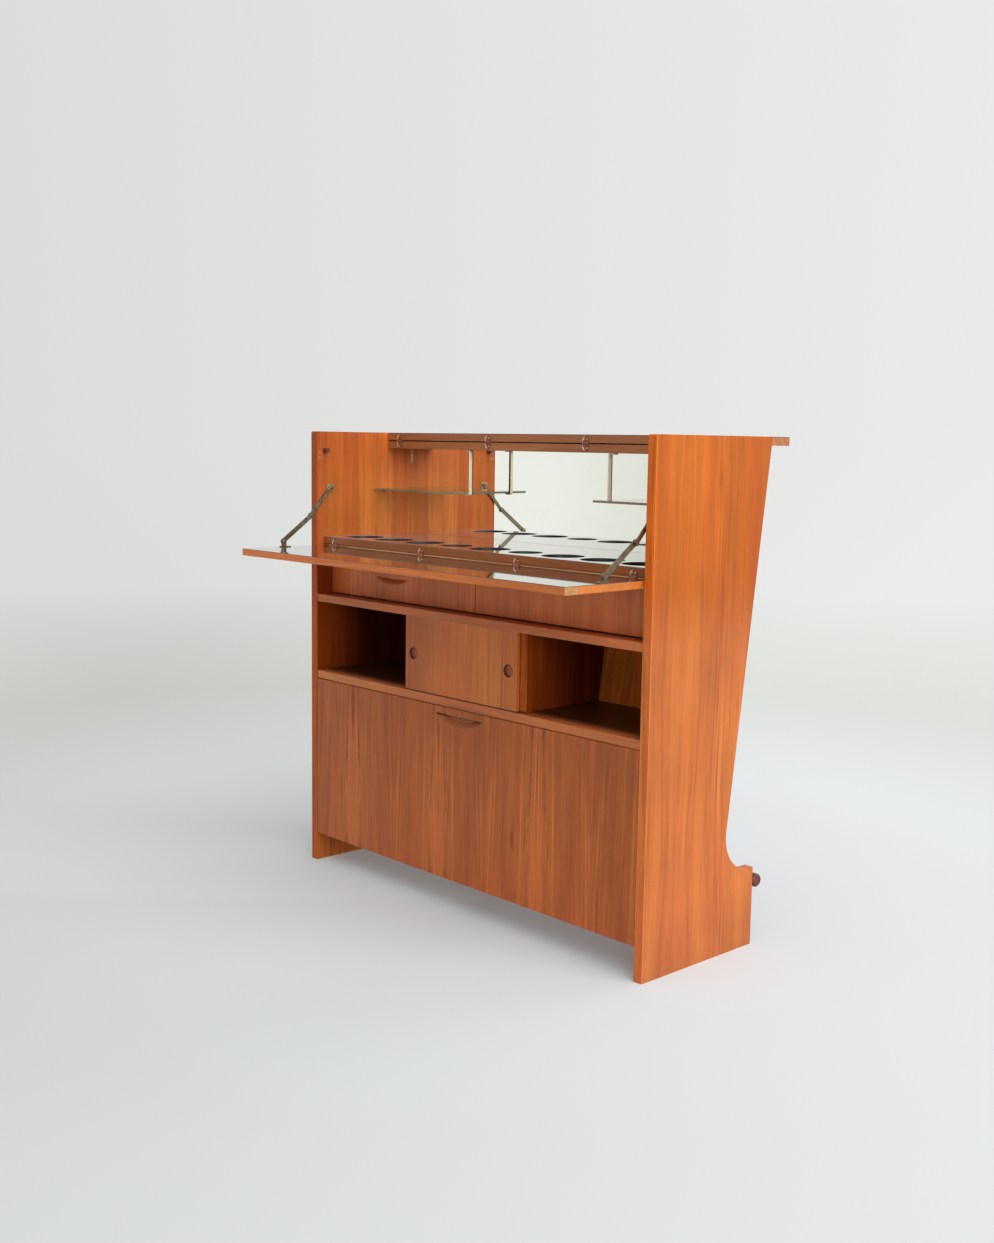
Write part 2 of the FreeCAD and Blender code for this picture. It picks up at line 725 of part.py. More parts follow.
def hole_tools(name, low, high):
    """Cylinders of the bottle holes between two heights."""
    return [
        rod(f"{name}_hole_{number}", "z", (low, high),
            (f"{place_share} * bottle_pitch", "bottle_row_depth"), radius)
        for number, (place_share, radius) in enumerate(holes, start=1)
    ]


floor_blank = shelf("compartment_floor_blank", "floor_front", "floor_bottom", "floor_board_top")
sub_part(
    cut("compartment_floor_cut", floor_blank,
        hole_tools("floor", "floor_bottom - overrun", "floor_board_top + overrun")),
    "compartment_floor")
laminate_blank = shelf("floor_laminate_blank", "floor_front", "floor_board_top", "floor_top")
sub_part(
    cut("floor_laminate_cut", laminate_blank,
        hole_tools("laminate", "floor_board_top - overrun", "floor_top + overrun")),
    "floor_laminate")
well_base_front = "bottle_row_depth - bottle_hole_radius - well_base_margin"
well_base_rear = "bottle_row_depth + bottle_hole_radius + well_base_margin"
sub_part(
    box("well_base_board", full_width, (well_base_front, well_base_rear),
        ("well_base_bottom", "floor_bottom")), "bottle_well_base")

# Mirror, held off the leaning back panel by a batten under the fixed top.
sub_part(
    box("mirror_plate", ("-inner_half + mirror_side_gap", "inner_half - mirror_side_gap"),
        (mirror_front, mirror_rear), ("floor_top", "top_board_bottom")), "mirror")
batten_bottom = "top_board_bottom - batten_height"
sub_part(
    profile("mirror_batten_strip", [
        (mirror_rear, batten_bottom), (back_face(batten_bottom), batten_bottom),
        (back_face("top_board_bottom"), "top_board_bottom"), (mirror_rear, "top_board_bottom"),
    ], full_width), "mirror_batten")

# Glass shelves: the outer end lies on two pegs and the free end hangs in a brass strap.
for side in ("left", "right"):
    sub_part(
        box(f"glass_shelf_{side}_plate", sided(side, "glass_end", "inner_half - glass_gap"),
            ("glass_front", f"{mirror_front} - glass_gap"),
            ("glass_bottom", "glass_bottom + glass_thickness")), f"glass_shelf_{side}")
    strap_y = ("strap_front", "strap_front + strap_width")
    sub_part(
        fuse(f"shelf_strap_{side}_bent", [
            box(f"shelf_strap_{side}_drop", sided(side, "strap_inner", "strap_outer"), strap_y,
                ("glass_bottom - strap_thickness", "top_board_bottom")),
            box(f"shelf_strap_{side}_hook", sided(side, "strap_inner", "strap_inner + strap_hook"),
                strap_y, ("glass_bottom - strap_thickness", "glass_bottom")),
            box(f"shelf_strap_{side}_tab", sided(side, "strap_inner", "strap_inner + strap_tab"),
                strap_y, ("top_board_bottom - strap_thickness", "top_board_bottom")),
        ]), f"shelf_strap_{side}")
shelf_pegs = [
    rod(f"shelf_peg_{side}_{number}", "x",
        sided(side, "inner_half - shelf_peg_reach", "inner_half + shelf_peg_bite"),
        (depth, "shelf_peg_z"), "shelf_peg_radius")
    for side in ("left", "right") for number, depth in enumerate(peg_depths)
]
sub_part(group("shelf_peg_set", shelf_pegs), "glass_shelf_pegs")

# Shelves, niche dividers and bottom board. The shelves carry the grooves of the two sliding doors.
sliding_tracks = {"front": "sliding_setback", "rear": "sliding_second"}


def groove_tools(name, low, high):
    """The two grooves that the sliding doors run in, between two heights."""
    return [
        box(f"{name}_{track}_groove", ("-inner_half - overrun", "inner_half + overrun"),
            (f"{start} - groove_play", f"{start} + sliding_thickness + groove_play"), (low, high))
        for track, start in sliding_tracks.items()
    ]


upper_blank = shelf("upper_shelf_blank", "shelf_setback", "upper_shelf_bottom", "upper_shelf_top")
sub_part(
    cut("upper_shelf_cut", upper_blank,
        groove_tools("upper", "upper_shelf_bottom - overrun", "upper_shelf_bottom + upper_groove")),
    "upper_shelf")
lower_blank = shelf("lower_shelf_blank", "shelf_setback", "lower_shelf_bottom", "lower_shelf_top")
sub_part(
    cut("lower_shelf_cut", lower_blank,
        groove_tools("lower", "lower_shelf_top - lower_groove", "lower_shelf_top + overrun")),
    "lower_shelf")
sub_part(shelf("bottom_board_plank", "bottom_board_front", "door_bottom", "bottom_board_top"),
         "bottom_board")
for side in ("left", "right"):
    sub_part(
        profile(f"niche_divider_{side}_board", [
            ("divider_front", "lower_shelf_top"), (back_face("lower_shelf_top"), "lower_shelf_top"),
            (back_face("upper_shelf_bottom"), "upper_shelf_bottom"),
            ("divider_front", "upper_shelf_bottom"),
        ], sided(side, "divider_inner", "divider_inner + divider_thickness")),
        f"niche_divider_{side}")

# Sliding doors with a blind finger recess near each end, both parked at the middle niche.
sliding_middles = {"front": "-sliding_shift", "rear": "sliding_shift"}
for track, start in sliding_tracks.items():
    name = f"sliding_door_{track}"
    middle = sliding_middles[track]
    panel = box(name + "_panel", centred(middle, "sliding_length"),
                (start, f"{start} + sliding_thickness"), ("sliding_bottom", "sliding_top"))
    recesses = [
        rod(f"{name}_recess_{number}", "y", (f"{start} - overrun", f"{start} + finger_depth"),
            (f"{middle} {sign} (sliding_length / 2 - finger_inset)", "finger_height"),
            "finger_radius")
        for number, sign in enumerate("-+")
    ]
    sub_part(cut(name + "_cut", panel, recesses), name)

# Drawer partition and the runner strips on both sides of each drawer.
partition_x = centred("0", "partition_thickness")
partition_board = box(
    "drawer_partition_board", partition_x, ("drawer_box_front + drawer_lift", "drawer_box_rear"),
    ("upper_shelf_top", "floor_bottom"))
partition_notch = box(
    "drawer_partition_notch", ("-partition_thickness", "partition_thickness"),
    (well_base_front, well_base_rear), ("well_base_bottom", "floor_bottom + overrun"))
sub_part(cut("drawer_partition_cut", partition_board, [partition_notch]), "drawer_partition")
runner_y = ("drawer_box_front + runner_setback", "drawer_box_rear")
runner_z = centred("runner_level", "runner_height")
runner_reach = "(drawer_side_play + runner_depth)"
runners = []
for side in ("left", "right"):
    runners.append(
        box(f"runner_{side}_outer", sided(side, f"inner_half - {runner_reach}", "inner_half"),
            runner_y, runner_z))
    runners.append(
        box(f"runner_{side}_inner",
            sided(side, "partition_thickness / 2", f"partition_thickness / 2 + {runner_reach}"),
            runner_y, runner_z))
sub_part(group("runner_set", runners), "drawer_runners")

# Two drawers: a front, two grooved sides, a back and a bottom under them. The left front has a carved
# pull, and the right one a notch for the fingers in its top edge.
groove_z = ("runner_level - runner_height / 2 - runner_play",
            "runner_level + runner_height / 2 + runner_play")
for side in ("left", "right"):
    name = f"drawer_{side}"
    middle = sided(side, "drawer_middle", "drawer_middle")[0]
    front_board = box(
        name + "_front_board", sided(side, "drawer_gap", "inner_half - drawer_gap"),
        ("drawer_setback", "drawer_box_front"), ("drawer_bottom", "drawer_top"))
    if side == "left":
        grip = carved_pull(name + "_pull", f"{middle} - drawer_pull_offset", "drawer_pull_height",
                           "drawer_setback", "drawer_pull_width", "drawer_pull_rise")
    else:
        grip = [rod(name + "_notch", "y", ("drawer_setback - overrun", "drawer_box_front + overrun"),
                    (middle, "drawer_top - drawer_notch_depth + drawer_notch_radius"),
                    "drawer_notch_radius")]
    sub_part(cut(name + "_front_cut", front_board, grip), name + "_front")
    box_y = ("drawer_box_front", "drawer_box_rear")
    side_z = ("drawer_side_bottom", "drawer_side_top")
    groove_y = ("drawer_box_front - overrun", "drawer_box_rear + overrun")
    groove_deep = "runner_depth + runner_play"
    walls = []
    outer_side = box(
        name + "_outer_board",
        sided(side, "drawer_outer - drawer_side_thickness", "drawer_outer"), box_y, side_z)
    outer_groove = box(
        name + "_outer_groove", sided(side, f"drawer_outer - ({groove_deep})", "drawer_outer + overrun"),
        groove_y, groove_z)
    walls.append(cut(name + "_outer_side", outer_side, [outer_groove]))
    inner_side = box(
        name + "_inner_board",
        sided(side, "drawer_inner", "drawer_inner + drawer_side_thickness"), box_y, side_z)
    inner_groove = box(
        name + "_inner_groove", sided(side, "drawer_inner - overrun", f"drawer_inner + {groove_deep}"),
        groove_y, groove_z)
    walls.append(cut(name + "_inner_side", inner_side, [inner_groove]))
    sub_part(group(name + "_walls", walls), name + "_sides")
    sub_part(
        box(name + "_back_board",
            sided(side, "drawer_inner + drawer_side_thickness",
                  "drawer_outer - drawer_side_thickness"),
            ("drawer_box_rear - drawer_back_thickness", "drawer_box_rear"),
            ("drawer_side_bottom", "drawer_back_top")), name + "_back")
    sub_part(
        box(name + "_bottom_board", sided(side, "drawer_inner", "drawer_outer"), box_y,
            ("drawer_bottom", "drawer_side_bottom")), name + "_bottom")

# Foot rail behind the boots, with a chamfer at each end, and the screws that hold it.
rail_centre = ("rail_depth", "rail_height")
rail_dowel = fuse("foot_rail_dowel", [
    rod("foot_rail_rod", "x", ("-rail_end + rail_chamfer", "rail_end - rail_chamfer"), rail_centre,
        "rail_radius"),
    cone("foot_rail_left_end", "x", ("-rail_end", "-rail_end + rail_chamfer"), rail_centre,
         ("rail_radius - rail_chamfer", "rail_radius")),
    cone("foot_rail_right_end", "x", ("rail_end - rail_chamfer", "rail_end"), rail_centre,
         ("rail_radius", "rail_radius - rail_chamfer")),
])
rail_tools = []
rail_screws = []
head_rear = "rail_rear - rail_head_sink"
head_front = f"{head_rear} - rail_head_height"
for side in ("left", "right"):
    centre = (sided(side, "rail_screw_x", "rail_screw_x")[0], "rail_height")
    rail_tools.append(
        rod(f"rail_{side}_bore", "y", ("boot_depth - overrun", "rail_rear + overrun"), centre,
            "rail_screw_radius"))
    rail_tools.append(
        rod(f"rail_{side}_counterbore", "y", (head_front, "rail_rear + overrun"), centre,
            "rail_head_radius"))
    rail_screws.append(
        fuse(f"rail_screw_{side}", [
            rod(f"rail_screw_{side}_shank", "y", ("boot_depth - rail_screw_bite", head_front), centre,
                "rail_screw_radius"),
            rod(f"rail_screw_{side}_head", "y", (head_front, head_rear), centre, "rail_head_radius"),
        ]))
sub_part(cut("foot_rail_cut", rail_dowel, rail_tools), "foot_rail")
sub_part(group("rail_screw_set", rail_screws), "foot_rail_screws")

# Rest pegs of the unfolded leaf, strike plates of the flap latches and buffers under the folded leaf.
sub_part(
    group("leaf_rest_peg_set", [
        rod(f"leaf_rest_peg_{side}", "x", sided(side, "inner_half - peg_reach", "inner_half + peg_bite"),
            ("peg_y", "peg_z"), "peg_radius")
        for side in ("left", "right")
    ]), "leaf_rest_pegs")
strikes = []
for side in ("left", "right"):
    plate = box(f"strike_{side}_plate", sided(side, "inner_half", "inner_half + strike_plate"),
                centred("strike_y", "strike_width"), centred("strike_z", "strike_height"))
    hole = rod(f"strike_{side}_hole", "x",
               sided(side, "inner_half - overrun", "inner_half + strike_plate + overrun"),
               ("strike_y", "strike_z"), "latch_stud_radius + strike_hole_gap")
    strikes.append(cut(f"strike_{side}", plate, [hole]))
sub_part(group("strike_set", strikes), "flap_strike_plates")
buffer_middles = ["-buffer_outer", "-buffer_inner", "buffer_inner", "buffer_outer"]
sub_part(
    group("leaf_buffer_set", [
        rod(f"leaf_buffer_{number}", "z", ("top_board_top", "leaf_bottom - buffer_play"),
            (middle, "buffer_depth"), "buffer_radius")
        for number, middle in enumerate(buffer_middles)
    ]), "leaf_buffers")

# Counter leaf, folded back on the fixed top, with a laminate working face that now looks up.
leaf_x = ("-inner_half + leaf_side_gap", "inner_half - leaf_side_gap")
leaf_y = ("top_board_front", "top_board_front + leaf_depth")
sub_part(box("counter_leaf_board", leaf_x, leaf_y, ("leaf_bottom", "leaf_top - laminate_thickness")),
         "counter_leaf")
sub_part(box("leaf_laminate_sheet", leaf_x, leaf_y, ("leaf_top - laminate_thickness", "leaf_top")),
         "leaf_laminate")
leaf_skin = ("leaf_axis_y + hinge_half_play", "top_board_front")
hinge_row("leaf_hinge_fixed_plates", "leaf_axis_y", "leaf_axis_z",
          (leaf_skin, "leaf_hinge_height", "down"), "leaf_knuckle_radius", True)
hinge_row("leaf_hinge_moving_plates", "leaf_axis_y", "leaf_axis_z",
          (leaf_skin, "leaf_hinge_height", "up"), "leaf_knuckle_radius", False)

# Drop flap, open and level: a board with a laminate inside face, let out at its ends for the latches.
flap_x = ("-flap_end", "flap_end")
flap_y = ("flap_reach", "flap_rear")
flap_blank = box("drop_flap_blank", flap_x, flap_y, ("flap_bottom", "flap_board_top"))
latch_y = ("flap_reach", "flap_reach + latch_length")
latch_z = ("flap_bottom", "flap_board_top")
latch_tools = []
latches = []
for side in ("left", "right"):
    latch_tools.append(
        box(f"latch_{side}_recess", sided(side, "flap_end - latch_plate", "flap_end + overrun"),
            ("flap_reach - overrun", "flap_reach + latch_length"),
            ("flap_bottom - overrun", "flap_board_top + overrun")))
    latches.append(
        fuse(f"latch_{side}", [
            box(f"latch_{side}_plate", sided(side, "flap_end - latch_plate", "flap_end"), latch_y,
                latch_z),
            rod(f"latch_{side}_stud", "x", sided(side, "flap_end", "flap_end + latch_stud_reach"),
                ("stud_y", "stud_z"), "latch_stud_radius"),
        ]))
sub_part(cut("drop_flap_cut", flap_blank, latch_tools), "drop_flap")
sub_part(group("latch_set", latches), "flap_latch_plates")
sub_part(box("flap_laminate_sheet", flap_x, flap_y, ("flap_board_top", "flap_top")), "flap_laminate")
hinge_row("flap_hinge_fixed_plates", "flap_axis_y", "flap_axis_z",
          (("flap_axis_y + hinge_half_play", "floor_front"), "flap_hinge_height", "up"),
          "knuckle_radius", True)
hinge_row("flap_hinge_moving_plates", "flap_axis_y", "flap_axis_z",
          (("flap_top", "flap_axis_z - hinge_half_play"), "flap_hinge_height", "front"),
          "knuckle_radius", False)

# Folding stays of the flap: wall bracket, upper link, lower link and flap bracket on each side.
stay_wall = ("stay_wall_depth", "stay_wall_height")
stay_knuckle = ("stay_knuckle_depth", "stay_knuckle_height")
stay_foot = ("stay_foot_depth", "stay_foot_z")
wall_brackets = []
foot_brackets = []
for side in ("left", "right"):
    wall_brackets.append(
        fuse(f"stay_wall_{side}", [
            box(f"stay_wall_{side}_plate", sided(side, "stay_plate_face", "inner_half"),
                centred("stay_wall_depth", "stay_plate_width"),
                centred("stay_wall_height", "stay_plate_height")),
            rod(f"stay_wall_{side}_pin", "x", sided(side, "upper_link_inner", "stay_plate_face"),
                stay_wall, "stay_pin_radius"),
        ]))
    foot_brackets.append(
        fuse(f"stay_foot_{side}", [
            box(f"stay_foot_{side}_base",
                sided(side, "stay_ear_outer - stay_foot_width", "stay_ear_outer"),
                centred("stay_foot_depth", "stay_foot_length"),
                ("flap_top", "flap_top + stay_plate")),
            box(f"stay_foot_{side}_ear", sided(side, "stay_ear_inner", "stay_ear_outer"),
                centred("stay_foot_depth", "2 * stay_eye_radius"),
                ("flap_top", "flap_top + stay_foot_rise")),
            rod(f"stay_foot_{side}_round", "x", sided(side, "stay_ear_inner", "stay_ear_outer"),
                stay_foot, "stay_eye_radius"),
            rod(f"stay_foot_{side}_pin", "x", sided(side, "stay_ear_inner", "lower_link_outer"),
                stay_foot, "stay_pin_radius"),
        ]))
    bore = "stay_pin_radius + stay_pin_fit"
    upper_bar = bar(
        f"stay_upper_{side}_bar", sided(side, "upper_link_inner", "upper_link_outer"), stay_wall,
        stay_knuckle, "stay_upper_width", bores=[("0", bore)])
    upper_head = rod(
        f"stay_upper_{side}_head", "x",
        sided(side, "upper_link_outer", "upper_link_outer + stay_head_height"), stay_knuckle,
        "stay_head_radius")
    sub_part(fuse(f"stay_upper_{side}", [upper_bar, upper_head]), f"stay_upper_link_{side}")
    lower_bar = bar(
        f"stay_lower_{side}_bar", sided(side, "lower_link_inner", "lower_link_outer"), stay_foot,
        stay_knuckle, "stay_lower_width", bores=[("0", bore)])
    lower_head = rod(
        f"stay_lower_{side}_head", "x",
        sided(side, "lower_link_inner - stay_head_height", "lower_link_inner"), stay_knuckle,
        "stay_head_radius")
    sub_part(fuse(f"stay_lower_{side}", [lower_bar, lower_head]), f"stay_lower_link_{side}")
sub_part(group("stay_wall_set", wall_brackets), "stay_wall_brackets")
sub_part(group("stay_foot_set", foot_brackets), "stay_flap_brackets")

# Fall-front door, shut, with its carved pull, hinges, catches and catch plates.
door_board = box(
    "lower_door_board", ("-inner_half + door_side_gap", "inner_half - door_side_gap"),
    ("door_setback", "door_inner"), ("door_bottom", "door_top"))
sub_part(
    cut("lower_door_cut", door_board,
        carved_pull("door_pull", "0", "door_pull_height", "door_setback", "door_pull_width",
                    "door_pull_rise")),
    "lower_door")
hinge_row("door_hinge_fixed_plates", "door_axis_y", "door_axis_z",
          (("door_axis_y + hinge_half_play", "bottom_board_front"), "door_hinge_height", "up"),
          "knuckle_radius", True)
hinge_row("door_hinge_moving_plates", "door_axis_y", "door_axis_z",
          (("door_inner", "door_axis_y - hinge_half_play"), "door_hinge_height", "up"),
          "knuckle_radius", False)
catch_low = "lower_shelf_bottom - catch_height"
plate_rear = "door_inner + catch_plate"
catches = []
catch_plates = []
for side in ("left", "right"):
    spans = centred("catch_place", "catch_width")
    catches.append(
        box(f"door_catch_{side}", sided(side, *spans),
            (f"{plate_rear} + catch_gap", f"{plate_rear} + catch_gap + catch_depth"),
            (catch_low, "lower_shelf_bottom")))
    catch_plates.append(
        box(f"door_catch_plate_{side}", sided(side, *spans), ("door_inner", plate_rear),
            (catch_low, "door_top - catch_margin")))
sub_part(group("door_catch_set", catches), "door_catches")
sub_part(group("door_catch_plate_set", catch_plates), "door_catch_plates")

# Slotted stay arms of the door: each turns on a door bracket and slides past a pin in the side panel.
arm_foot = ("arm_foot_y", "arm_foot_z")
arm_pin = ("arm_pin_depth", "arm_pin_height")
arm_pins = []
arm_brackets = []
for side in ("left", "right"):
    arm_pins.append(
        rod(f"arm_pin_{side}", "x", sided(side, "inner_half - arm_pin_reach", "inner_half"), arm_pin,
            "arm_pin_radius"))
    arm_brackets.append(
        fuse(f"arm_bracket_{side}", [
            box(f"arm_bracket_{side}_base",
                sided(side, "arm_ear_outer - stay_foot_width", "arm_ear_outer"),
                ("door_inner", "door_inner + stay_plate"), centred("arm_foot_z", "stay_foot_length")),
            box(f"arm_bracket_{side}_ear", sided(side, "arm_ear_inner", "arm_ear_outer"),
                ("door_inner", "arm_foot_y"), centred("arm_foot_z", "2 * stay_eye_radius")),
            rod(f"arm_bracket_{side}_round", "x", sided(side, "arm_ear_inner", "arm_ear_outer"),
                arm_foot, "stay_eye_radius"),
            rod(f"arm_bracket_{side}_pin", "x", sided(side, "arm_ear_inner", "arm_outer"), arm_foot,
                "stay_pin_radius"),
        ]))
    sub_part(
        bar(f"door_stay_arm_{side}_bar", sided(side, "arm_inner", "arm_outer"), arm_foot, arm_pin,
            "arm_width", length="arm_length",
            bores=[("0", "stay_pin_radius + stay_pin_fit"),
                   ("arm_slot_start", "arm_length", "arm_slot_width")]),
        f"door_stay_arm_{side}")
sub_part(group("arm_pin_set", arm_pins), "door_stay_wall_pins")
sub_part(group("arm_bracket_set", arm_brackets), "door_stay_brackets")

# Check every object and every piece, then write each piece to its own file.
doc.recompute()
for thing in doc.Objects:
    if "Invalid" in thing.State or "Error" in thing.State:
        raise RuntimeError(f"{thing.Name} failed: {thing.State}")
for shape in sub_parts:
    if shape.Shape.isNull() or not shape.Shape.isValid():
        raise RuntimeError(f"{shape.Label} has no valid shape")
os.makedirs("parts", exist_ok=True)
for shape in sub_parts:
    shape.Shape.exportStep(f"parts/{shape.Label}.step")
print(len(sub_parts), "sub-parts written")
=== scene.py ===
import math

import bpy
import numpy as np
from mathutils import Matrix, Vector


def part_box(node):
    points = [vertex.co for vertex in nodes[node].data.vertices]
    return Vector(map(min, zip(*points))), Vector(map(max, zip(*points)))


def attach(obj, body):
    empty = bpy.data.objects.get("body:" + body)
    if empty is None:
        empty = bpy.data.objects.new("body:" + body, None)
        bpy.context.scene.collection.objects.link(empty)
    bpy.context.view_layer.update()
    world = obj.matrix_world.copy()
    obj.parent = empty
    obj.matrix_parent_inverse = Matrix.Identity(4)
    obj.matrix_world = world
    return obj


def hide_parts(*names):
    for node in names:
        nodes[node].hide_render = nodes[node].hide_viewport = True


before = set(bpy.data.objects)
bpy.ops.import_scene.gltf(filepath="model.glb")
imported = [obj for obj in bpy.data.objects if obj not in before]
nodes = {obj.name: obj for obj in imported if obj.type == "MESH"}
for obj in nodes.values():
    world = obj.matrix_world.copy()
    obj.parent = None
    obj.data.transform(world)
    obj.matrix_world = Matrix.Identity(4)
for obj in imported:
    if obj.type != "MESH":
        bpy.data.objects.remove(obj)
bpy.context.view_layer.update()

# ----- places, in metres
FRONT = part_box("side_panel_right")[0].y  # the depth of the side panels' front edges
HALF_INNER = -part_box("side_panel_left")[1].x  # half the room between the side panels
FLOOR_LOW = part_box("compartment_floor")[0]
LEFT_INNER = FLOOR_LOW.x - 0.0012  # a little inside the left panel's inner face
LAMINATE_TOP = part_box("flap_laminate")[1].z
SHELF_LOW, SHELF_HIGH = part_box("lower_shelf")
DOOR_LOW, DOOR_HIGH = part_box("lower_door")
DRAWER_LOW, DRAWER_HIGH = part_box("drawer_left_front")
DOOR_LIP = (0, DOOR_HIGH.z - 0.0158, DOOR_LOW.y)  # place along the front, height and depth
DRAWER_LIP = (-0.292, DRAWER_HIGH.z - 0.046, DRAWER_LOW.y)

CARVE_DEPTHS = (0.0004, 0.0142)  # a carved pull's colour, counted behind its face
CARVE_TOP = 0.008  # and above its lip
GROOVE_DROP = 0.0045

FINGER_HEIGHT = (SHELF_HIGH.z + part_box("upper_shelf")[0].z) / 2
FINGER_RADIUS = 0.0120
FINGER_WALL_RADIUS = 0.0140
TONGUE_HEIGHT = 0.0024

REAR_EDGE_FOOT = 0.1013  # depth of the side panels' rear edge on the floor
REAR_EDGE_LEAN = 0.1305  # and its lean, as a share of the height

UP, DOWN, TO_FRONT = (0, 0, 1), (0, 0, -1), (0, -1, 0)
HINGE_PLACES = [-0.480, -0.156, 0.156, 0.480]
HINGE_HALF = 0.010
HINGE_PLATE = 0.0012
HINGE_SCREW_INSET = 0.0058
HINGE_SCREWS = (-0.0052, 0.0052)
HINGE_SCREW_RADIUS = 0.0021
FLAT_HEAD = 0.14  # the hinge halves close face to face, so their screws stay nearly flat
HINGE_PLAY = 0.0001

STRAP_THICK = 0.003
STRAP_HOOK = 0.014
STRAP_BEND = 0.0028

STAY_WALL = (0.040 + FRONT, 0.925)
STAY_KNUCKLE = (-0.021 + FRONT, 0.8586)
STAY_FOOT = (-0.102 + FRONT, 0.8001)
STAY_LINK = 0.0012
STAY_EAR = 0.0025
WALL_PLATE_FACE = 0.524
STAY_SCREWS = (-0.0067, 0.0067)
STAY_SCREW_RADIUS = 0.0018
LATCH_SCREWS = (-0.011, 0.011)
LATCH_SCREW_RADIUS = 0.0017

TRIM_GAP = 0.0004
TRIM_EDGE = 0.0003
LIPPING_DROP = 0.0031
LIPPING_LINE_DROP = 0.0047
LIPPING_DEPTH = 0.0050
CLIP_DROPS = (0.0001, 0.018, 0.037)

# ----- colours and grain directions
TEAK_LIGHT = (0.66, 0.148, 0.020)
TEAK_DARK = (0.39, 0.074, 0.011)
TEAK_LINE = (0.11, 0.022, 0.006)
EDGE_LIGHT = (0.60, 0.195, 0.058)
EDGE_DARK = (0.41, 0.127, 0.038)

# The three ways in which veneer is laid: rows of the turn that carries object axes to grain axes.
STANDING_FRONT = ((1, 0, 0), (0, 1, 0), (0, 0, 1))
STANDING_SIDE = ((0, 1, 0), (-1, 0, 0), (0, 0, 1))
LYING = ((0, 1, 0), (0, 0, 1), (1, 0, 0))


# ----- shader steps
def feed(tree, made, inputs):
    """Values or links on a node's inputs; a colour may be given as red, green and blue alone."""
    for name, value in inputs.items():
        target = made.inputs[name]
        if isinstance(value, bpy.types.NodeSocket):
            tree.links.new(value, target)
        elif target.type == "RGBA" and len(value) == 3:
            target.default_value = (*value, 1)
        else:
            target.default_value = value


def node(tree, kind, inputs=None, **settings):
    """A shader node with its settings, and with values or links on its inputs."""
    made = tree.nodes.new("ShaderNode" + kind)
    for name, value in settings.items():
        setattr(made, name, value)
    feed(tree, made, inputs or {})
    return made


def maths(tree, operation, first, second=0.0, third=0.0, clamp=False):
    """One arithmetic step; its output socket."""
    return node(tree, "Math", {0: first, 1: second, 2: third}, operation=operation,
                use_clamp=clamp).outputs[0]


def times(tree, value, *factors):
    """The product of several values."""
    for factor in factors:
        value = maths(tree, "MULTIPLY", value, factor)
    return value


def plus(tree, value, *others):
    """The sum of several values."""
    for other in others:
        value = maths(tree, "ADD", value, other)
    return value


def minus(tree, value, other):
    """One value less another."""
    return maths(tree, "SUBTRACT", value, other)


def swing(tree, value, reach):
    """A value between 0 and 1 turned into one around nought, and scaled."""
    return times(tree, minus(tree, value, 0.5), reach)


def between(tree, value, low, high):
    """1 where a value lies between two others."""
    return times(tree, maths(tree, "GREATER_THAN", value, low), maths(tree, "LESS_THAN", value, high))


def remap(tree, value, low, high, to_low=0.0, to_high=1.0):
    """A value carried from one range to another, and kept inside it."""
    return node(tree, "MapRange", {"Value": value, "From Min": low, "From Max": high,
                                   "To Min": to_low, "To Max": to_high}).outputs["Result"]


def vector_maths(tree, operation, first, second=(0, 0, 0), result="Vector"):
    """One step of vector arithmetic; the output socket of that name."""
    return node(tree, "VectorMath", {0: first, 1: second}, operation=operation).outputs[result]


def split(tree, vector):
    """The three parts of a vector."""
    return node(tree, "SeparateXYZ", {0: vector}).outputs


def joined(tree, x, y, z):
    """A vector from three values."""
    return node(tree, "CombineXYZ", {0: x, 1: y, 2: z}).outputs[0]


def coordinates(tree, kind="Object"):
    """Texture coordinates of one kind."""
    return node(tree, "TexCoord").outputs[kind]


def own_axes(tree):
    """The three object coordinates as separate values."""
    return split(tree, coordinates(tree))


def noise(tree, vector, scale, detail=2.0, roughness=0.5):
    """Noise between 0 and 1 on a vector that is stretched by a triple of scales."""
    return node(tree, "TexNoise", {
        "Vector": vector_maths(tree, "MULTIPLY", vector, scale), "Scale": 1.0, "Detail": detail,
        "Roughness": roughness}).outputs["Fac"]


def blended(tree, factor, first, second, mode="MIX"):
    """Two colours blended by a factor; the output socket."""
    return node(tree, "Mix", {0: factor, 6: first, 7: second}, data_type="RGBA",
                blend_type=mode).outputs[2]


def new_group(name, inputs, outputs):
    """An empty node group, its sockets listed by kind: its tree, its inputs and its output node."""
    tree = bpy.data.node_groups.new(name, "ShaderNodeTree")
    for way, kinds in (("INPUT", inputs), ("OUTPUT", outputs)):
        for kind, labels in kinds.items():
            for label in labels:
                tree.interface.new_socket(name=label, in_out=way, socket_type="NodeSocket" + kind)
    return tree, tree.nodes.new("NodeGroupInput").outputs, tree.nodes.new("NodeGroupOutput")


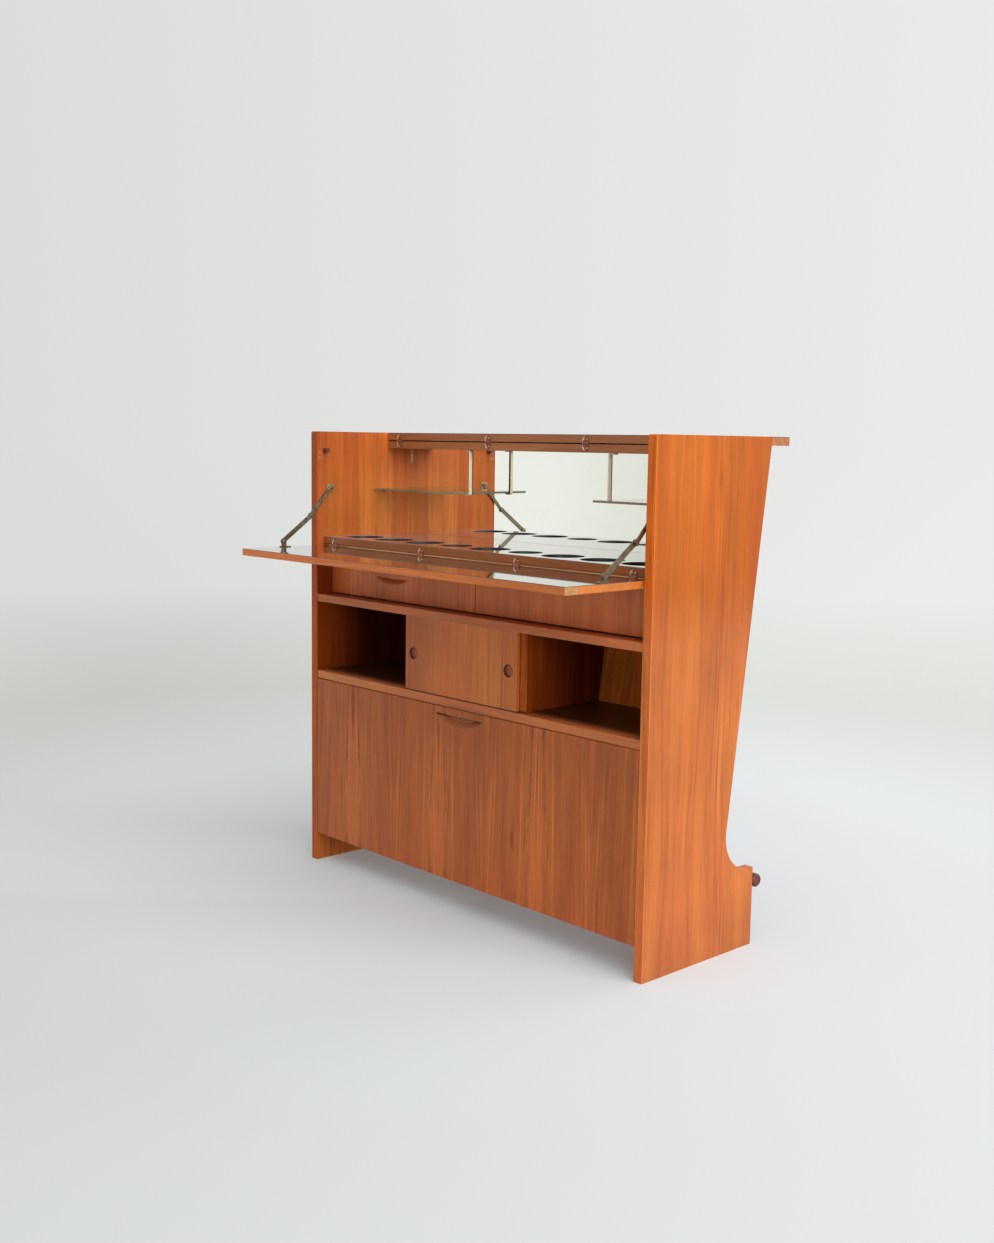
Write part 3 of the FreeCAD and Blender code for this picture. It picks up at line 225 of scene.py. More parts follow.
def veneer_group():
    """Teak veneer laid in book-matched leaves.

    The grain runs along Z of the vector. Across it, X is folded back and forth over the leaf width, so
    neighbouring leaves mirror each other. The folded place is shifted a little by slow noise and is
    spread apart around one knot. Broad bands, clusters of dark lines, pale lines, fibres and pores are
    noise on that place, stretched along the grain. In the heart of a leaf the lines bend into nested
    arches: there they follow the place squared plus a share of the height.
    """
    tree, inputs, out = new_group("teak_veneer", {
        "Vector": ["Vector", "Knot"], "Color": ["Light", "Dark", "Line"],
        "Float": ["Leaf Width", "Figure", "Contrast", "Lines"],
    }, {"Color": ["Color"], "Float": ["Roughness", "Height"]})
    parts = split(tree, inputs["Vector"])
    width = inputs["Leaf Width"]
    from_knot = split(tree, vector_maths(tree, "SUBTRACT", inputs["Vector"], inputs["Knot"]))

    def hill(narrow, tall):
        """Falls from 1 at the knot to 0 around it: e to the minus squared distances over the sizes."""
        across, along = (maths(tree, "POWER", maths(tree, "DIVIDE", from_knot[axis], reach), 2.0)
                         for axis, reach in ((0, narrow), (2, tall)))
        return maths(tree, "EXPONENT", times(tree, plus(tree, across, along), -1.0))

    leaf = maths(tree, "FLOOR", maths(tree, "DIVIDE", parts[0], width))
    folded = plus(tree, maths(tree, "PINGPONG", parts[0], width),
                  times(tree, from_knot[0], hill(0.016, 0.07), -0.62))
    own = joined(tree, folded, parts[1], parts[2])
    drift = swing(tree, noise(tree, own, (3, 3, 1.1), 1), 0.060)
    wobble = swing(tree, noise(tree, own, (22, 22, 7), 2), 0.0080)
    place = plus(tree, drift, wobble, maths(tree, "MULTIPLY_ADD", parts[1], 0.6, folded))
    grain = joined(tree, place, times(tree, leaf, 0.002), parts[2])
    heart = minus(tree, place, times(tree, width, 0.45))
    heart_squared = times(tree, heart, heart)
    arch = maths(tree, "MULTIPLY_ADD", heart_squared, 14.0, times(tree, parts[2], 0.075))
    in_heart = times(tree, inputs["Figure"], remap(
        tree, maths(tree, "DIVIDE", heart_squared, times(tree, width, width)), 0.02, 0.11, 1.0, 0.0))
    straight_lines = noise(tree, grain, (105, 60, 2.2), 5, 0.70)
    arch_lines = noise(tree, joined(tree, arch, 0.0, place), (110, 1, 5), 5, 0.70)
    line_value = node(tree, "Mix", {0: in_heart, 2: straight_lines, 3: arch_lines}).outputs[0]
    cluster = remap(tree, noise(tree, grain, (13, 13, 0.7)), 0.45, 0.64, 0.10, 1.0)
    fine_lines = remap(tree, noise(tree, grain, (330, 60, 3), 3, 0.65), 0.45, 0.37, 0.0, 0.55)
    dark_lines = times(tree, cluster, maths(
        tree, "MAXIMUM", remap(tree, line_value, 0.50, 0.40), fine_lines))
    bands = noise(tree, grain, (19, 19, 1.0), 3, 0.6)
    fibres = noise(tree, grain, (420, 60, 9), 3, 0.65)
    tone = plus(tree, swing(tree, line_value, 1.0), swing(tree, fibres, 0.9), swing(tree, bands, 2.0))
    share = maths(tree, "MULTIPLY_ADD", tone, inputs["Contrast"], 0.5, clamp=True)
    colour = blended(tree, share, inputs["Dark"], inputs["Light"])
    core = times(tree, hill(0.0045, 0.022), 0.75)
    inked = maths(tree, "MAXIMUM", times(tree, dark_lines, inputs["Lines"]), core)
    pale_zone = remap(tree, noise(tree, own, (15, 15, 1.6)), 0.42, 0.62, 0.1, 0.9)
    pale_lines = remap(tree, noise(tree, grain, (190, 60, 2.0), 4, 0.65), 0.52, 0.64)
    pale = times(tree, pale_zone, pale_lines, maths(tree, "MULTIPLY_ADD", inputs["Lines"], 0.5, 0.35))
    streaked = blended(tree, pale, colour, (1.45, 1.80, 2.3), "MULTIPLY")
    lined = blended(tree, inked, streaked, inputs["Line"])
    pores = remap(tree, noise(tree, inputs["Vector"], (1500, 1500, 42), 1), 0.56, 0.70)
    pored = blended(tree, times(tree, pores, 0.25), lined, inputs["Line"])
    leaf_tone = node(tree, "TexWhiteNoise", {"W": leaf}, noise_dimensions="1D").outputs["Value"]
    cloud = noise(tree, own, (8, 8, 3.5), 3, 0.55)
    shade = plus(tree, remap(tree, cloud, 0.3, 0.7, 0.84, 1.10), swing(tree, leaf_tone, 0.12))
    warmth = remap(tree, noise(tree, own, (11, 11, 1.5), 1), 0.3, 0.7, 0.93, 1.12)
    shading = joined(tree, shade, times(tree, shade, warmth), shade)
    feed(tree, out, {
        "Color": blended(tree, 1.0, pored, shading, "MULTIPLY"),
        "Roughness": maths(tree, "MULTIPLY_ADD", inked, 0.12, remap(tree, share, 0, 1, 0.44, 0.36)),
        "Height": minus(tree, 1.0, pores)})
    return tree


def tarnish_group():
    """Handled metal: clouds of tarnish over a bright colour, with fine scratches in the roughness."""
    tree, inputs, out = new_group("handled_metal", {
        "Vector": ["Vector"], "Color": ["Bright", "Tarnish"], "Float": ["Amount"],
    }, {"Color": ["Color"], "Float": ["Roughness"]})
    cloud = noise(tree, inputs["Vector"], (90, 90, 90), 4, 0.6)
    mask = times(tree, remap(tree, cloud, 0.35, 0.65), inputs["Amount"])
    scratch = noise(tree, inputs["Vector"], (400, 2600, 500))
    feed(tree, out, {
        "Color": blended(tree, mask, inputs["Bright"], inputs["Tarnish"]),
        "Roughness": maths(tree, "MULTIPLY_ADD", mask, 0.25,
                           remap(tree, scratch, 0.3, 0.7, 0.20, 0.32))})
    return tree


VENEER = veneer_group()
TARNISH = tarnish_group()


# ----- materials
def new_material(name):
    """An empty material with its Principled shader linked to the output, and its node tree."""
    material = bpy.data.materials.new(name)
    material.use_nodes = True
    tree = material.node_tree
    return material, tree, tree.nodes["Principled BSDF"]


def placed_vector(tree, turn=STANDING_FRONT, shift=(0, 0, 0)):
    """Object coordinates, turned and shifted by a Mapping node."""
    return node(tree, "Mapping", {"Vector": coordinates(tree), "Location": shift,
                                  "Rotation": Matrix(turn).to_euler("XYZ")}).outputs[0]


def teak(name, turn, leaf=0.15, figure=0.5, shift=(0, 0, 0), light=TEAK_LIGHT, dark=TEAK_DARK,
         line=TEAK_LINE, contrast=1.0, lines=0.7, knot=(9.0, 0.0, 9.0), sheen=0.45):
    """Oiled teak veneer; the knot's place is counted in the grain's own axes, after the shift."""
    material, tree, shader = new_material(name)
    grain = node(tree, "Group", {
        "Vector": placed_vector(tree, turn, shift), "Light": light, "Dark": dark, "Line": line,
        "Leaf Width": leaf, "Figure": figure, "Contrast": contrast, "Lines": lines, "Knot": knot,
    }, node_tree=VENEER).outputs
    relief = node(tree, "Bump", {"Strength": 0.6, "Distance": 0.00012, "Height": grain["Height"]})
    feed(tree, shader, {"Base Color": grain["Color"], "Roughness": grain["Roughness"],
                        "Normal": relief.outputs[0], "Specular IOR Level": sheen})
    return material


def insert_colour(material, change):
    """Put one more step, made by change, between a material's colour and its shader."""
    tree = material.node_tree
    target = tree.nodes["Principled BSDF"].inputs["Base Color"]
    tree.links.new(change(tree, own_axes(tree), target.links[0].from_socket), target)


def carve_tone(material, lip, half, rise, inner, depth):
    """A carved pull: the end grain's colour in it, darkened as painted shade, and painted shadow in
    the groove behind its lip.
    """
    def change(tree, axes, colour):
        """Two masks: a box behind the face, and the upper part of that box."""
        inside = times(tree, between(tree, axes[0], lip[0] - half, lip[0] + half),
                       between(tree, axes[1], lip[2] + CARVE_DEPTHS[0], lip[2] + CARVE_DEPTHS[1]))
        scoop, groove = (times(tree, inside, between(tree, axes[2], lip[1] - drop, lip[1] + CARVE_TOP))
                         for drop in (rise, GROOVE_DROP))
        # Painted shade: the scoop takes half of the inner colour, which on the door is far darker than
        # its face.
        carved = blended(tree, times(tree, scoop, 0.5), colour, inner)
        # Painted shadow: the groove under the lip turns near black, by the share depth.
        return blended(tree, times(tree, groove, depth), carved, (0.05, 0.012, 0.006))
    insert_colour(material, change)


def slider_tone(material, places):
    """Painted shade in the finger holes, dark on their walls and less on their bottoms, and a painted
    shadow along the door's foot, where its tongue runs in the groove.
    """
    def change(tree, axes, colour):
        """Distances from the holes' axes pick out walls and bottoms; height picks out the tongue."""
        wall, bottom = 0.0, 0.0
        rise = minus(tree, axes[2], FINGER_HEIGHT)
        for place in places:
            across = minus(tree, axes[0], place)
            distance = maths(tree, "SQRT", plus(
                tree, times(tree, across, across), times(tree, rise, rise)))
            wall = maths(tree, "MAXIMUM", wall,
                         between(tree, distance, FINGER_RADIUS, FINGER_WALL_RADIUS))
            bottom = maths(tree, "MAXIMUM", bottom,
                           maths(tree, "LESS_THAN", distance, FINGER_RADIUS))
        # Painted shadow of the groove: the door's lowest 2.4 mm turn near black.
        tongue = maths(tree, "LESS_THAN", axes[2], SHELF_HIGH.z + TONGUE_HEIGHT)
        dark = maths(tree, "MAXIMUM", wall, tongue)
        # Painted shade in the holes: their bottoms darker, their walls near black.
        sunk = blended(tree, times(tree, bottom, 0.35), colour, (0.22, 0.05, 0.02))
        return blended(tree, times(tree, dark, 0.88), sunk, (0.035, 0.010, 0.005))
    insert_colour(material, change)


def toned(material, axis, start, end, tone, from_x=-1.0):
    """A colour multiplied by tone, which comes in between two places: wood of another tone in some
    uses, painted light or shade in others, as each use says.

    It leaves everything left of from_x alone, such as the outer face of the left panel.
    """
    def change(tree, axes, colour):
        """The share of the tone follows one object coordinate."""
        share = times(tree, remap(tree, axes[axis], start, end),
                      maths(tree, "GREATER_THAN", axes[0], from_x))
        return blended(tree, share, colour, tone, "MULTIPLY")
    insert_colour(material, change)
    return material


def rear_strip(material, tone):
    """A darker strip along the panel's slanted rear edge, above the cut-out for the feet."""
    def change(tree, axes, colour):
        """The share comes in from 150 to 100 mm before the edge and fades out towards the cut-out."""
        edge = maths(tree, "MULTIPLY_ADD", axes[2], REAR_EDGE_LEAN, REAR_EDGE_FOOT)
        share = times(tree, remap(tree, minus(tree, edge, axes[1]), 0.150, 0.100),
                      remap(tree, axes[2], 0.40, 0.60))
        return blended(tree, share, colour, tone, "MULTIPLY")
    insert_colour(material, change)


def niche_side_shade(material, tone):
    """Painted shade on the side panel's inner face from the lower shelf up to the flap, behind its
    front edge.
    """
    def change(tree, axes, colour):
        """A box of object coordinates, in which tone multiplies the colour as painted shade, darker
        with depth.
        """
        inside = times(tree, between(tree, axes[2], SHELF_HIGH.z - 0.01, SHELF_HIGH.z + 0.30),
                       maths(tree, "GREATER_THAN", axes[0], LEFT_INNER),
                       maths(tree, "GREATER_THAN", axes[1], FRONT + 0.003))
        deep_shade = blended(tree, remap(tree, axes[1], FRONT + 0.03, FRONT + 0.15), tone,
                       (0.20 * tone[0], 0.13 * tone[1], 0.2 * tone[2]))
        return blended(tree, inside, colour, deep_shade, "MULTIPLY")
    insert_colour(material, change)


def floor_board():
    """The compartment floor: a teak lipping in front, and near-black faces and hole walls behind it.
    """
    material = teak("teak_floor_board", LYING, 0.14, 0.3, (0.3, 0, 1.2), (0.50, 0.135, 0.032),
                    (0.34, 0.085, 0.018), contrast=0.8, lines=0.4)

    def change(tree, axes, colour):
        """Near black wherever the depth is past the lipping's front."""
        behind_lipping = maths(tree, "GREATER_THAN", axes[1], FLOOR_LOW.y + 0.0015)
        return blended(tree, behind_lipping, colour, (0.012, 0.009, 0.008))
    insert_colour(material, change)
    return material


def shaded_back_veneer():
    """The back panel: veneer outside; on its inner face painted shade, darkest in the left niche, and
    painted light towards the right.
    """
    material = teak("teak_back", STANDING_FRONT, 0.155, 0.6, (0.03, 0, 5.0), sheen=0.2)

    def change(tree, axes, colour):
        """The inner face looks to the front, so its normal's Y is below nought."""
        inner_face = maths(tree, "LESS_THAN", split(tree, coordinates(tree, "Normal"))[1], -0.5)
        # Painted shade in the left niche, painted light towards the right, on the inner face.
        painted_shade_and_light = blended(tree, remap(tree, axes[0], -0.20, 0.25), (0.15, 0.09, 0.08),
                        (1.7, 1.9, 1.5))
        return blended(tree, inner_face, colour, blended(tree, 1.0, colour, painted_shade_and_light, "MULTIPLY"))
    insert_colour(material, change)
    return material


def metal(name, bright, tarnish, amount, metallic=1.0):
    """Handled brass or plated steel."""
    material, tree, shader = new_material(name)
    skin = node(tree, "Group", {"Vector": placed_vector(tree), "Bright": bright, "Tarnish": tarnish,
                                "Amount": amount}, node_tree=TARNISH).outputs
    feed(tree, shader, {"Base Color": skin["Color"], "Roughness": skin["Roughness"],
                        "Metallic": metallic})
    return material


def laminate(name, first, second, coat=1.0):
    """High-gloss laminate between two body colours, with faint wiping marks in its gloss."""
    material, tree, shader = new_material(name)
    vector = placed_vector(tree)
    marks = noise(tree, vector, (7, 30, 9), 4, 0.6)
    cloud = noise(tree, vector, (12, 12, 12), 3)
    feed(tree, shader, {
        "Base Color": blended(tree, cloud, first, second), "Coat Weight": coat, "Coat Roughness": 0.03,
        "Roughness": remap(tree, marks, 0.3, 0.75, 0.03, 0.07)})
    return material


def mirror_silver():
    """Old silvered glass: clear, with a few small spots and a faint haze in the silvering."""
    material, tree, shader = new_material("old_mirror")
    vector = placed_vector(tree)
    cells = node(tree, "TexVoronoi", {"Vector": vector, "Scale": 9.0, "Randomness": 1.0})
    spot_size = times(tree, noise(tree, vector, (9, 9, 9), 1), 0.05)
    spots = remap(tree, minus(tree, cells.outputs["Distance"], spot_size), 0.0, 0.035, 1.0, 0.0)
    haze = remap(tree, noise(tree, vector, (6, 6, 9), 4, 0.6), 0.45, 0.8, 0.0, 0.35)
    mask = maths(tree, "ADD", times(tree, spots, 0.35), times(tree, haze, 0.3), clamp=True)
    feed(tree, shader, {
        "Base Color": blended(tree, mask, (0.93, 0.945, 0.91), (0.62, 0.64, 0.58)),
        "Roughness": remap(tree, mask, 0, 1, 0.008, 0.14), "Metallic": 1.0})
    return material


def shelf_glass():
    """Clear float glass with smears in its polish and coloured edges, greener left than right."""
    material, tree, shader = new_material("shelf_glass")
    smears = noise(tree, placed_vector(tree), (14, 30, 14), 3, 0.6)
    upright = maths(tree, "ABSOLUTE", split(tree, coordinates(tree, "Normal"))[2])
    edge = maths(tree, "LESS_THAN", upright, 0.5)
    edge_colour = blended(tree, remap(tree, own_axes(tree)[0], -0.2, 0.2), (0.36, 0.35, 0.19),
                          (0.52, 0.32, 0.22))
    feed(tree, shader, {
        "Base Color": blended(tree, edge, (0.88, 0.93, 0.86), edge_colour), "IOR": 1.5,
        "Roughness": remap(tree, smears, 0.35, 0.8, 0.01, 0.05),
        "Transmission Weight": maths(tree, "MULTIPLY_ADD", edge, -0.65, 1.0)})
    return material


def plain_finish(name, first, second, scale, rough_low, rough_high):
    """A mottled two-colour finish for small parts."""
    material, tree, shader = new_material(name)
    mottle = noise(tree, placed_vector(tree), (scale, scale, scale), 3, 0.6)
    feed(tree, shader, {
        "Base Color": blended(tree, remap(tree, mottle, 0.35, 0.65), first, second),
        "Roughness": remap(tree, mottle, 0.3, 0.7, rough_low, rough_high)})
    return material


def head_map(tree):
    """The parts of the UV map that the small fittings carry."""
    return split(tree, node(tree, "UVMap", uv_map="head").outputs[0])


def rim_finish():
    """Dark brass with a painted highlight on a rim's inner slope, where the UV map marks the lit side.
    """
    material, tree, shader = new_material("rim_brass")
    highlight_breakup = noise(tree, placed_vector(tree), (260, 260, 260), 3, 0.6)
    # Painted highlight: the UV map's share, broken up a little by noise.
    bright = times(tree, head_map(tree)[0], remap(tree, highlight_breakup, 0.3, 0.7, 0.7, 1.0))
    feed(tree, shader, {
        "Base Color": blended(tree, bright, (0.16, 0.07, 0.032), (1.0, 0.88, 0.66)),
        "Roughness": remap(tree, bright, 0, 1, 0.8, 0.3), "Metallic": 0.25})
    return material


def strap_finish():
    """Lacquered brass, bright and creamy, with a dark band along the strap's rear edge."""
    material = metal("strap_brass", (1.0, 0.93, 0.68), (0.84, 0.72, 0.46), 0.2, 0.25)
    low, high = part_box("shelf_strap_left")
    middle = (low.y + high.y) / 2

    def change(tree, axes, colour):
        """The band is counted from the strap's middle; things farther back are bright again."""
        band = between(tree, axes[1], middle + 0.0022, middle + 0.008)
        return blended(tree, band, colour, (0.10, 0.05, 0.025))
    insert_colour(material, change)
    return material


def screw_finish():
    """A slotted screw head: the slot is a dark line across the head's own UV map."""
    material, tree, shader = new_material("screw_brass")
    line = remap(tree, maths(tree, "ABSOLUTE", minus(tree, head_map(tree)[0], 0.5)), 0.07, 0.10,
                 1.0, 0.0)
    height = minus(tree, 1.0, line)
    relief = node(tree, "Bump", {"Strength": 0.8, "Distance": 0.0003, "Height": height})
    feed(tree, shader, {
        "Base Color": blended(tree, line, (0.78, 0.60, 0.34), (0.05, 0.035, 0.02)),
        "Roughness": remap(tree, line, 0, 1, 0.24, 0.7), "Normal": relief.outputs[0],
        "Metallic": 1.0})
    return material


BRASS = metal("aged_brass", (0.42, 0.26, 0.12), (0.13, 0.065, 0.03), 0.9)
BRACKET = metal("bracket_brass", (0.52, 0.42, 0.18), (0.22, 0.16, 0.07), 0.7)
LATCH_BRASS = metal("latch_brass", (0.82, 0.42, 0.19), (0.48, 0.22, 0.09), 0.6)
STAY_METAL = metal("stay_bronze", (0.27, 0.215, 0.140), (0.095, 0.073, 0.047), 0.75)
STEEL = metal("plated_steel", (0.62, 0.60, 0.56), (0.32, 0.29, 0.25), 0.5)
STRAP_BRASS = strap_finish()
RIM = rim_finish()
SCREW = screw_finish()
PLATE = plain_finish("dark_bronze", (0.36, 0.10, 0.034), (0.22, 0.06, 0.022), 140, 0.35, 0.5)
STRIKE = plain_finish("strike_bronze", (0.53, 0.145, 0.040), (0.42, 0.105, 0.027), 140, 0.4, 0.6)
BLACK = plain_finish("catch_case", (0.02, 0.02, 0.02), (0.035, 0.034, 0.032), 160, 0.4, 0.6)
# Dark brown for the strip that fills the gap under the folded leaf: painted shade of the gap.
GAP_SHADE = plain_finish("gap_shade_brown", (0.045, 0.018, 0.010), (0.085, 0.034, 0.018), 900, 0.9, 1.0)
RUBBER = plain_finish("soft_rubber", (0.015, 0.014, 0.013), (0.03, 0.028, 0.026), 220, 0.7, 0.9)
LAMINATE = laminate("gloss_laminate", (0.026, 0.022, 0.019), (0.046, 0.038, 0.032))
# Paler towards the left: the laminate's colour is multiplied up to about three times there.
FLOOR_LAMINATE = toned(
    laminate("laminate_paler_left", (0.085, 0.082, 0.085), (0.125, 0.120, 0.125), 0.85),
    0, -0.12, -0.42, (2.6, 2.9, 3.4))
# A pale lipping, its colour raised as painted light against the shade under the floor's front edge.
BRIGHTENED_LIPPING = teak("lipping_painted_light", LYING, 0.3, 0.2, (0, 0, 3.0), (0.92, 0.60, 0.34), (0.82, 0.48, 0.25),
               (0.6, 0.3, 0.15), 0.6, 0.2)

door_veneer = teak("teak_lower_door", STANDING_FRONT, 0.157, 0.45, (0.222, 0, 0), lines=1.0,
                   contrast=1.15, knot=(0.398, 0, 0.21))
# The door's pull, with painted shade in its scoop and painted shadow in its groove.
carve_tone(door_veneer, DOOR_LIP, 0.0785, 0.026, (0.30, 0.07, 0.02), 0.85)
# The drawers' veneer is lighter than the other teak: painted light against the shade of the open flap
# above them.
drawer_veneer = teak("teak_drawers", STANDING_FRONT, 0.105, 0.55, (0.02, 0, 7.0),
                     (0.94, 0.262, 0.054), (0.62, 0.145, 0.031), (0.30, 0.075, 0.020), lines=0.45)
carve_tone(drawer_veneer, DRAWER_LIP, 0.061, 0.016, (0.56, 0.15, 0.04), 0.0)
front_slider = teak("teak_sliding_front", STANDING_FRONT, 0.40, 0.25, (0.2, 0, 2.0),
                    (0.82, 0.222, 0.040), (0.56, 0.135, 0.024), (0.30, 0.075, 0.020), lines=0.5)
toned(front_slider, 0, 0.0, -0.13, (0.82, 0.80, 0.84))
rear_slider = teak("teak_sliding_rear", STANDING_FRONT, 0.40, 0.25, (1.0, 0, 3.0), lines=0.5)
slider_tone(front_slider, (-0.162, 0.150))
slider_tone(rear_slider, (-0.150, 0.162))
left_veneer = teak("teak_left_panel", STANDING_SIDE, 0.125, 0.35, (0.31, 0.2, 0.0),
                   (0.65, 0.170, 0.030), (0.37, 0.082, 0.014), (0.22, 0.070, 0.018), 1.1, 0.8,
                   sheen=0.2)
# Painted light: the inner face gets lighter towards the back, where less light reaches it.
toned(left_veneer, 1, FRONT + 0.10, FRONT + 0.26, (1.60, 1.75, 2.2), LEFT_INNER)
toned(left_veneer, 1, FRONT + 0.003, FRONT + 0.001, (1.0, 0.75, 0.45))
toned(left_veneer, 2, 0.93, 1.03, (0.90, 0.76, 0.68), LEFT_INNER)
# Painted shade of the left niche on the panel's inner face, darkening towards the back.
niche_side_shade(left_veneer, (0.58, 0.40, 0.22))
right_veneer = teak("teak_right_panel", STANDING_SIDE, 0.21, 0.4, (0.022, 0, 0),
                    (0.74, 0.205, 0.052), (0.50, 0.128, 0.032), (0.34, 0.085, 0.022), 0.8, 0.5,
                    (0.10, 0, 0.974), 0.2)
# Less green and blue towards the top, so the paler colour lower down is painted sheen, which grows
# towards the floor.
toned(right_veneer, 2, 0.65, 0.77, (0.95, 0.78, 0.30))
toned(right_veneer, 2, 0.14, 0.0, (0.80, 0.83, 0.88))
rear_strip(right_veneer, (0.86, 0.84, 0.90))
toned(right_veneer, 1, FRONT + 0.003, FRONT + 0.001, (1.5, 1.38, 1.3))
# Painted shade: the dividers' dark veneer, darker still towards the back of the niches.
divider_veneer = toned(
    teak("teak_dividers", STANDING_SIDE, 0.12, 0.4, (0.2, 0, 9.0), (0.50, 0.085, 0.008),
         (0.26, 0.040, 0.004), sheen=0.12), 1, FRONT + 0.04, FRONT + 0.17, (0.36, 0.24, 0.3))
shelf_veneer = teak("teak_shelves", LYING, 0.14, 0.35, (0.1, 0, 2.2), EDGE_LIGHT, EDGE_DARK,
                    contrast=0.8, lines=0.4)
# Mostly painted shade: the niche shelves turn dark just behind their front edges; partly their own
# darker finish.
niche_shelf_veneer = toned(
    teak("teak_niche_shelves", LYING, 0.14, 0.35, (0.3, 0, 2.8), (0.78, 0.225, 0.060),
         (0.54, 0.145, 0.038), contrast=0.8, lines=0.4),
    1, FRONT + 0.005, FRONT + 0.05, (0.10, 0.08, 0.08))
flap_veneer = teak("teak_flap", LYING, 0.16, 0.4, (0.4, 0, 4.4), (0.84, 0.235, 0.042),
                   (0.60, 0.145, 0.024), contrast=0.7, lines=0.3)
floor_veneer = floor_board()
plain_wood = teak("drawer_wood", LYING, 0.3, 0.3, (0, 0, 6.0), (0.56, 0.33, 0.15), (0.40, 0.21, 0.09),
                  (0.25, 0.12, 0.05), 0.8, 0.3)
well_wood = teak("well_wood", LYING, 0.3, 0.2, (0, 0, 8.0), (0.030, 0.017, 0.011),
                 (0.014, 0.008, 0.006), (0.008, 0.005, 0.004), 0.8, 0.3)
dowel = teak("dark_dowel", LYING, 0.3, 0.1, light=(0.20, 0.045, 0.014), dark=(0.085, 0.020, 0.009),
             line=(0.03, 0.01, 0.006))

# ----- dressing the frame's own nodes
# The first beginning that fits a node's name gives its finish.
FINISHES = (
    ("side_panel_left", left_veneer), ("side_panel_right", right_veneer),
    ("back_panel", shaded_back_veneer()), ("lower_door", door_veneer),
    ("sliding_door_front", front_slider), ("sliding_door_rear", rear_slider),
    ("drawer_left_front", drawer_veneer), ("drawer_right_front", drawer_veneer),
    ("drawer_partition", divider_veneer), ("niche_divider", divider_veneer), ("drawer_", plain_wood),
    ("fixed_top", shelf_veneer), ("bottom_board", shelf_veneer), ("counter_leaf", shelf_veneer),
    ("upper_shelf", niche_shelf_veneer), ("lower_shelf", niche_shelf_veneer),
    ("drop_flap", flap_veneer), ("compartment_floor", floor_veneer), ("bottle_well_base", well_wood),
    ("floor_laminate", FLOOR_LAMINATE), ("flap_laminate", LAMINATE), ("leaf_laminate", LAMINATE),
    ("mirror_", plain_wood), ("mirror", mirror_silver()),
    ("glass_shelf_pegs", BRASS), ("glass_shelf_", shelf_glass()),
    ("foot_rail_screws", STEEL), ("foot_rail", dowel), ("leaf_rest_pegs", dowel),
    ("leaf_buffers", RUBBER), ("door_catches", BLACK), ("door_catch", STEEL), ("door_stay", STEEL),
    ("flap_latch_plates", LATCH_BRASS), ("flap_strike_plates", STRIKE), ("leaf_hinge", PLATE),
    ("flap_hinge", PLATE), ("stay_wall_brackets", BRACKET), ("stay_", STAY_METAL), ("", BRASS),
)
for name in nodes:
    nodes[name].data.materials.clear()
    nodes[name].data.materials.append(
        next(material for beginning, material in FINISHES if name.startswith(beginning)))

# Slightly rounded arrises on the boards: doubles are merged first, then the sharp edges are bevelled.
SOFT_EDGES = {
    0.0012: ("side_panel_left", "side_panel_right"),
    0.0008: ("fixed_top", "upper_shelf", "lower_shelf", "bottom_board", "back_panel", "lower_door",
             "sliding_door_front", "sliding_door_rear", "drawer_left_front", "drawer_right_front"),
    0.0006: ("counter_leaf", "drop_flap", "niche_divider_left", "niche_divider_right", "foot_rail"),
    0.0005: ("glass_shelf_left", "glass_shelf_right", "mirror", "compartment_floor"),
}
for width, names in SOFT_EDGES.items():
    for name in names:
        weld = nodes[name].modifiers.new("merge", "WELD")
        weld.merge_threshold = 0.00001
        bevel = nodes[name].modifiers.new("arris", "BEVEL")
        bevel.width = width
        bevel.segments = 2
        bevel.limit_method = "ANGLE"
        bevel.angle_limit = math.radians(40)
        bevel.harden_normals = True


# ----- surfaces
def shown(name, data):
    """A new object in the scene."""
    made = bpy.data.objects.new(name, data)
    bpy.context.scene.collection.objects.link(made)
    return made


def grid_faces(rows, columns, closed=False):
    """Quads between neighbouring rows and columns of a grid; a closed grid joins its last column."""
    row, column = np.meshgrid(np.arange(rows - 1), np.arange(columns - (0 if closed else 1)),
                              indexing="ij")
    after = (column + 1) % columns
    return np.stack([row * columns + column, row * columns + after, (row + 1) * columns + after,
                     (row + 1) * columns + column], axis=-1).reshape(-1, 4)


def capped_tube(rings):
    """Points and faces of a tube of rings, closed at both ends by fans to the rings' middles."""
    count, around = rings.shape[:2]
    points = np.concatenate([rings.reshape(-1, 3), rings[[0, -1]].mean(axis=1)])
    sides = grid_faces(count, around, closed=True)
    step = np.arange(around)
    after = (step + 1) % around
    last = (count - 1) * around
    first_cap = np.stack([after, step, np.full(around, count * around)], axis=-1)
    last_cap = np.stack([last + step, last + after, np.full(around, count * around + 1)], axis=-1)
    return points, [*sides.tolist(), *first_cap.tolist(), *last_cap.tolist()]


def piece(name, parts, body, material, uv=None):
    """One object from several (points, faces) parts; it rides on a body and takes the finish it is
    given.
    """
    points, faces, offset = [], [], 0
    for part_points, part_faces in parts:
        points.append(part_points)
        faces.extend([[index + offset for index in face] for face in part_faces])
        offset += len(part_points)
    mesh = bpy.data.meshes.new(name)
    mesh.from_pydata(np.concatenate(points).tolist(), [], faces)
    mesh.shade_smooth()
    if uv is not None:
        layer = mesh.uv_layers.new(name="head")
        corner = np.zeros(len(mesh.loops), np.int32)
        mesh.loops.foreach_get("vertex_index", corner)
        layer.data.foreach_set("uv", np.concatenate(uv)[corner].astype(np.float32).ravel())
    mesh.validate()
    mesh.materials.append(material)
    made = shown(name, mesh)
    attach(made, body)
    return made


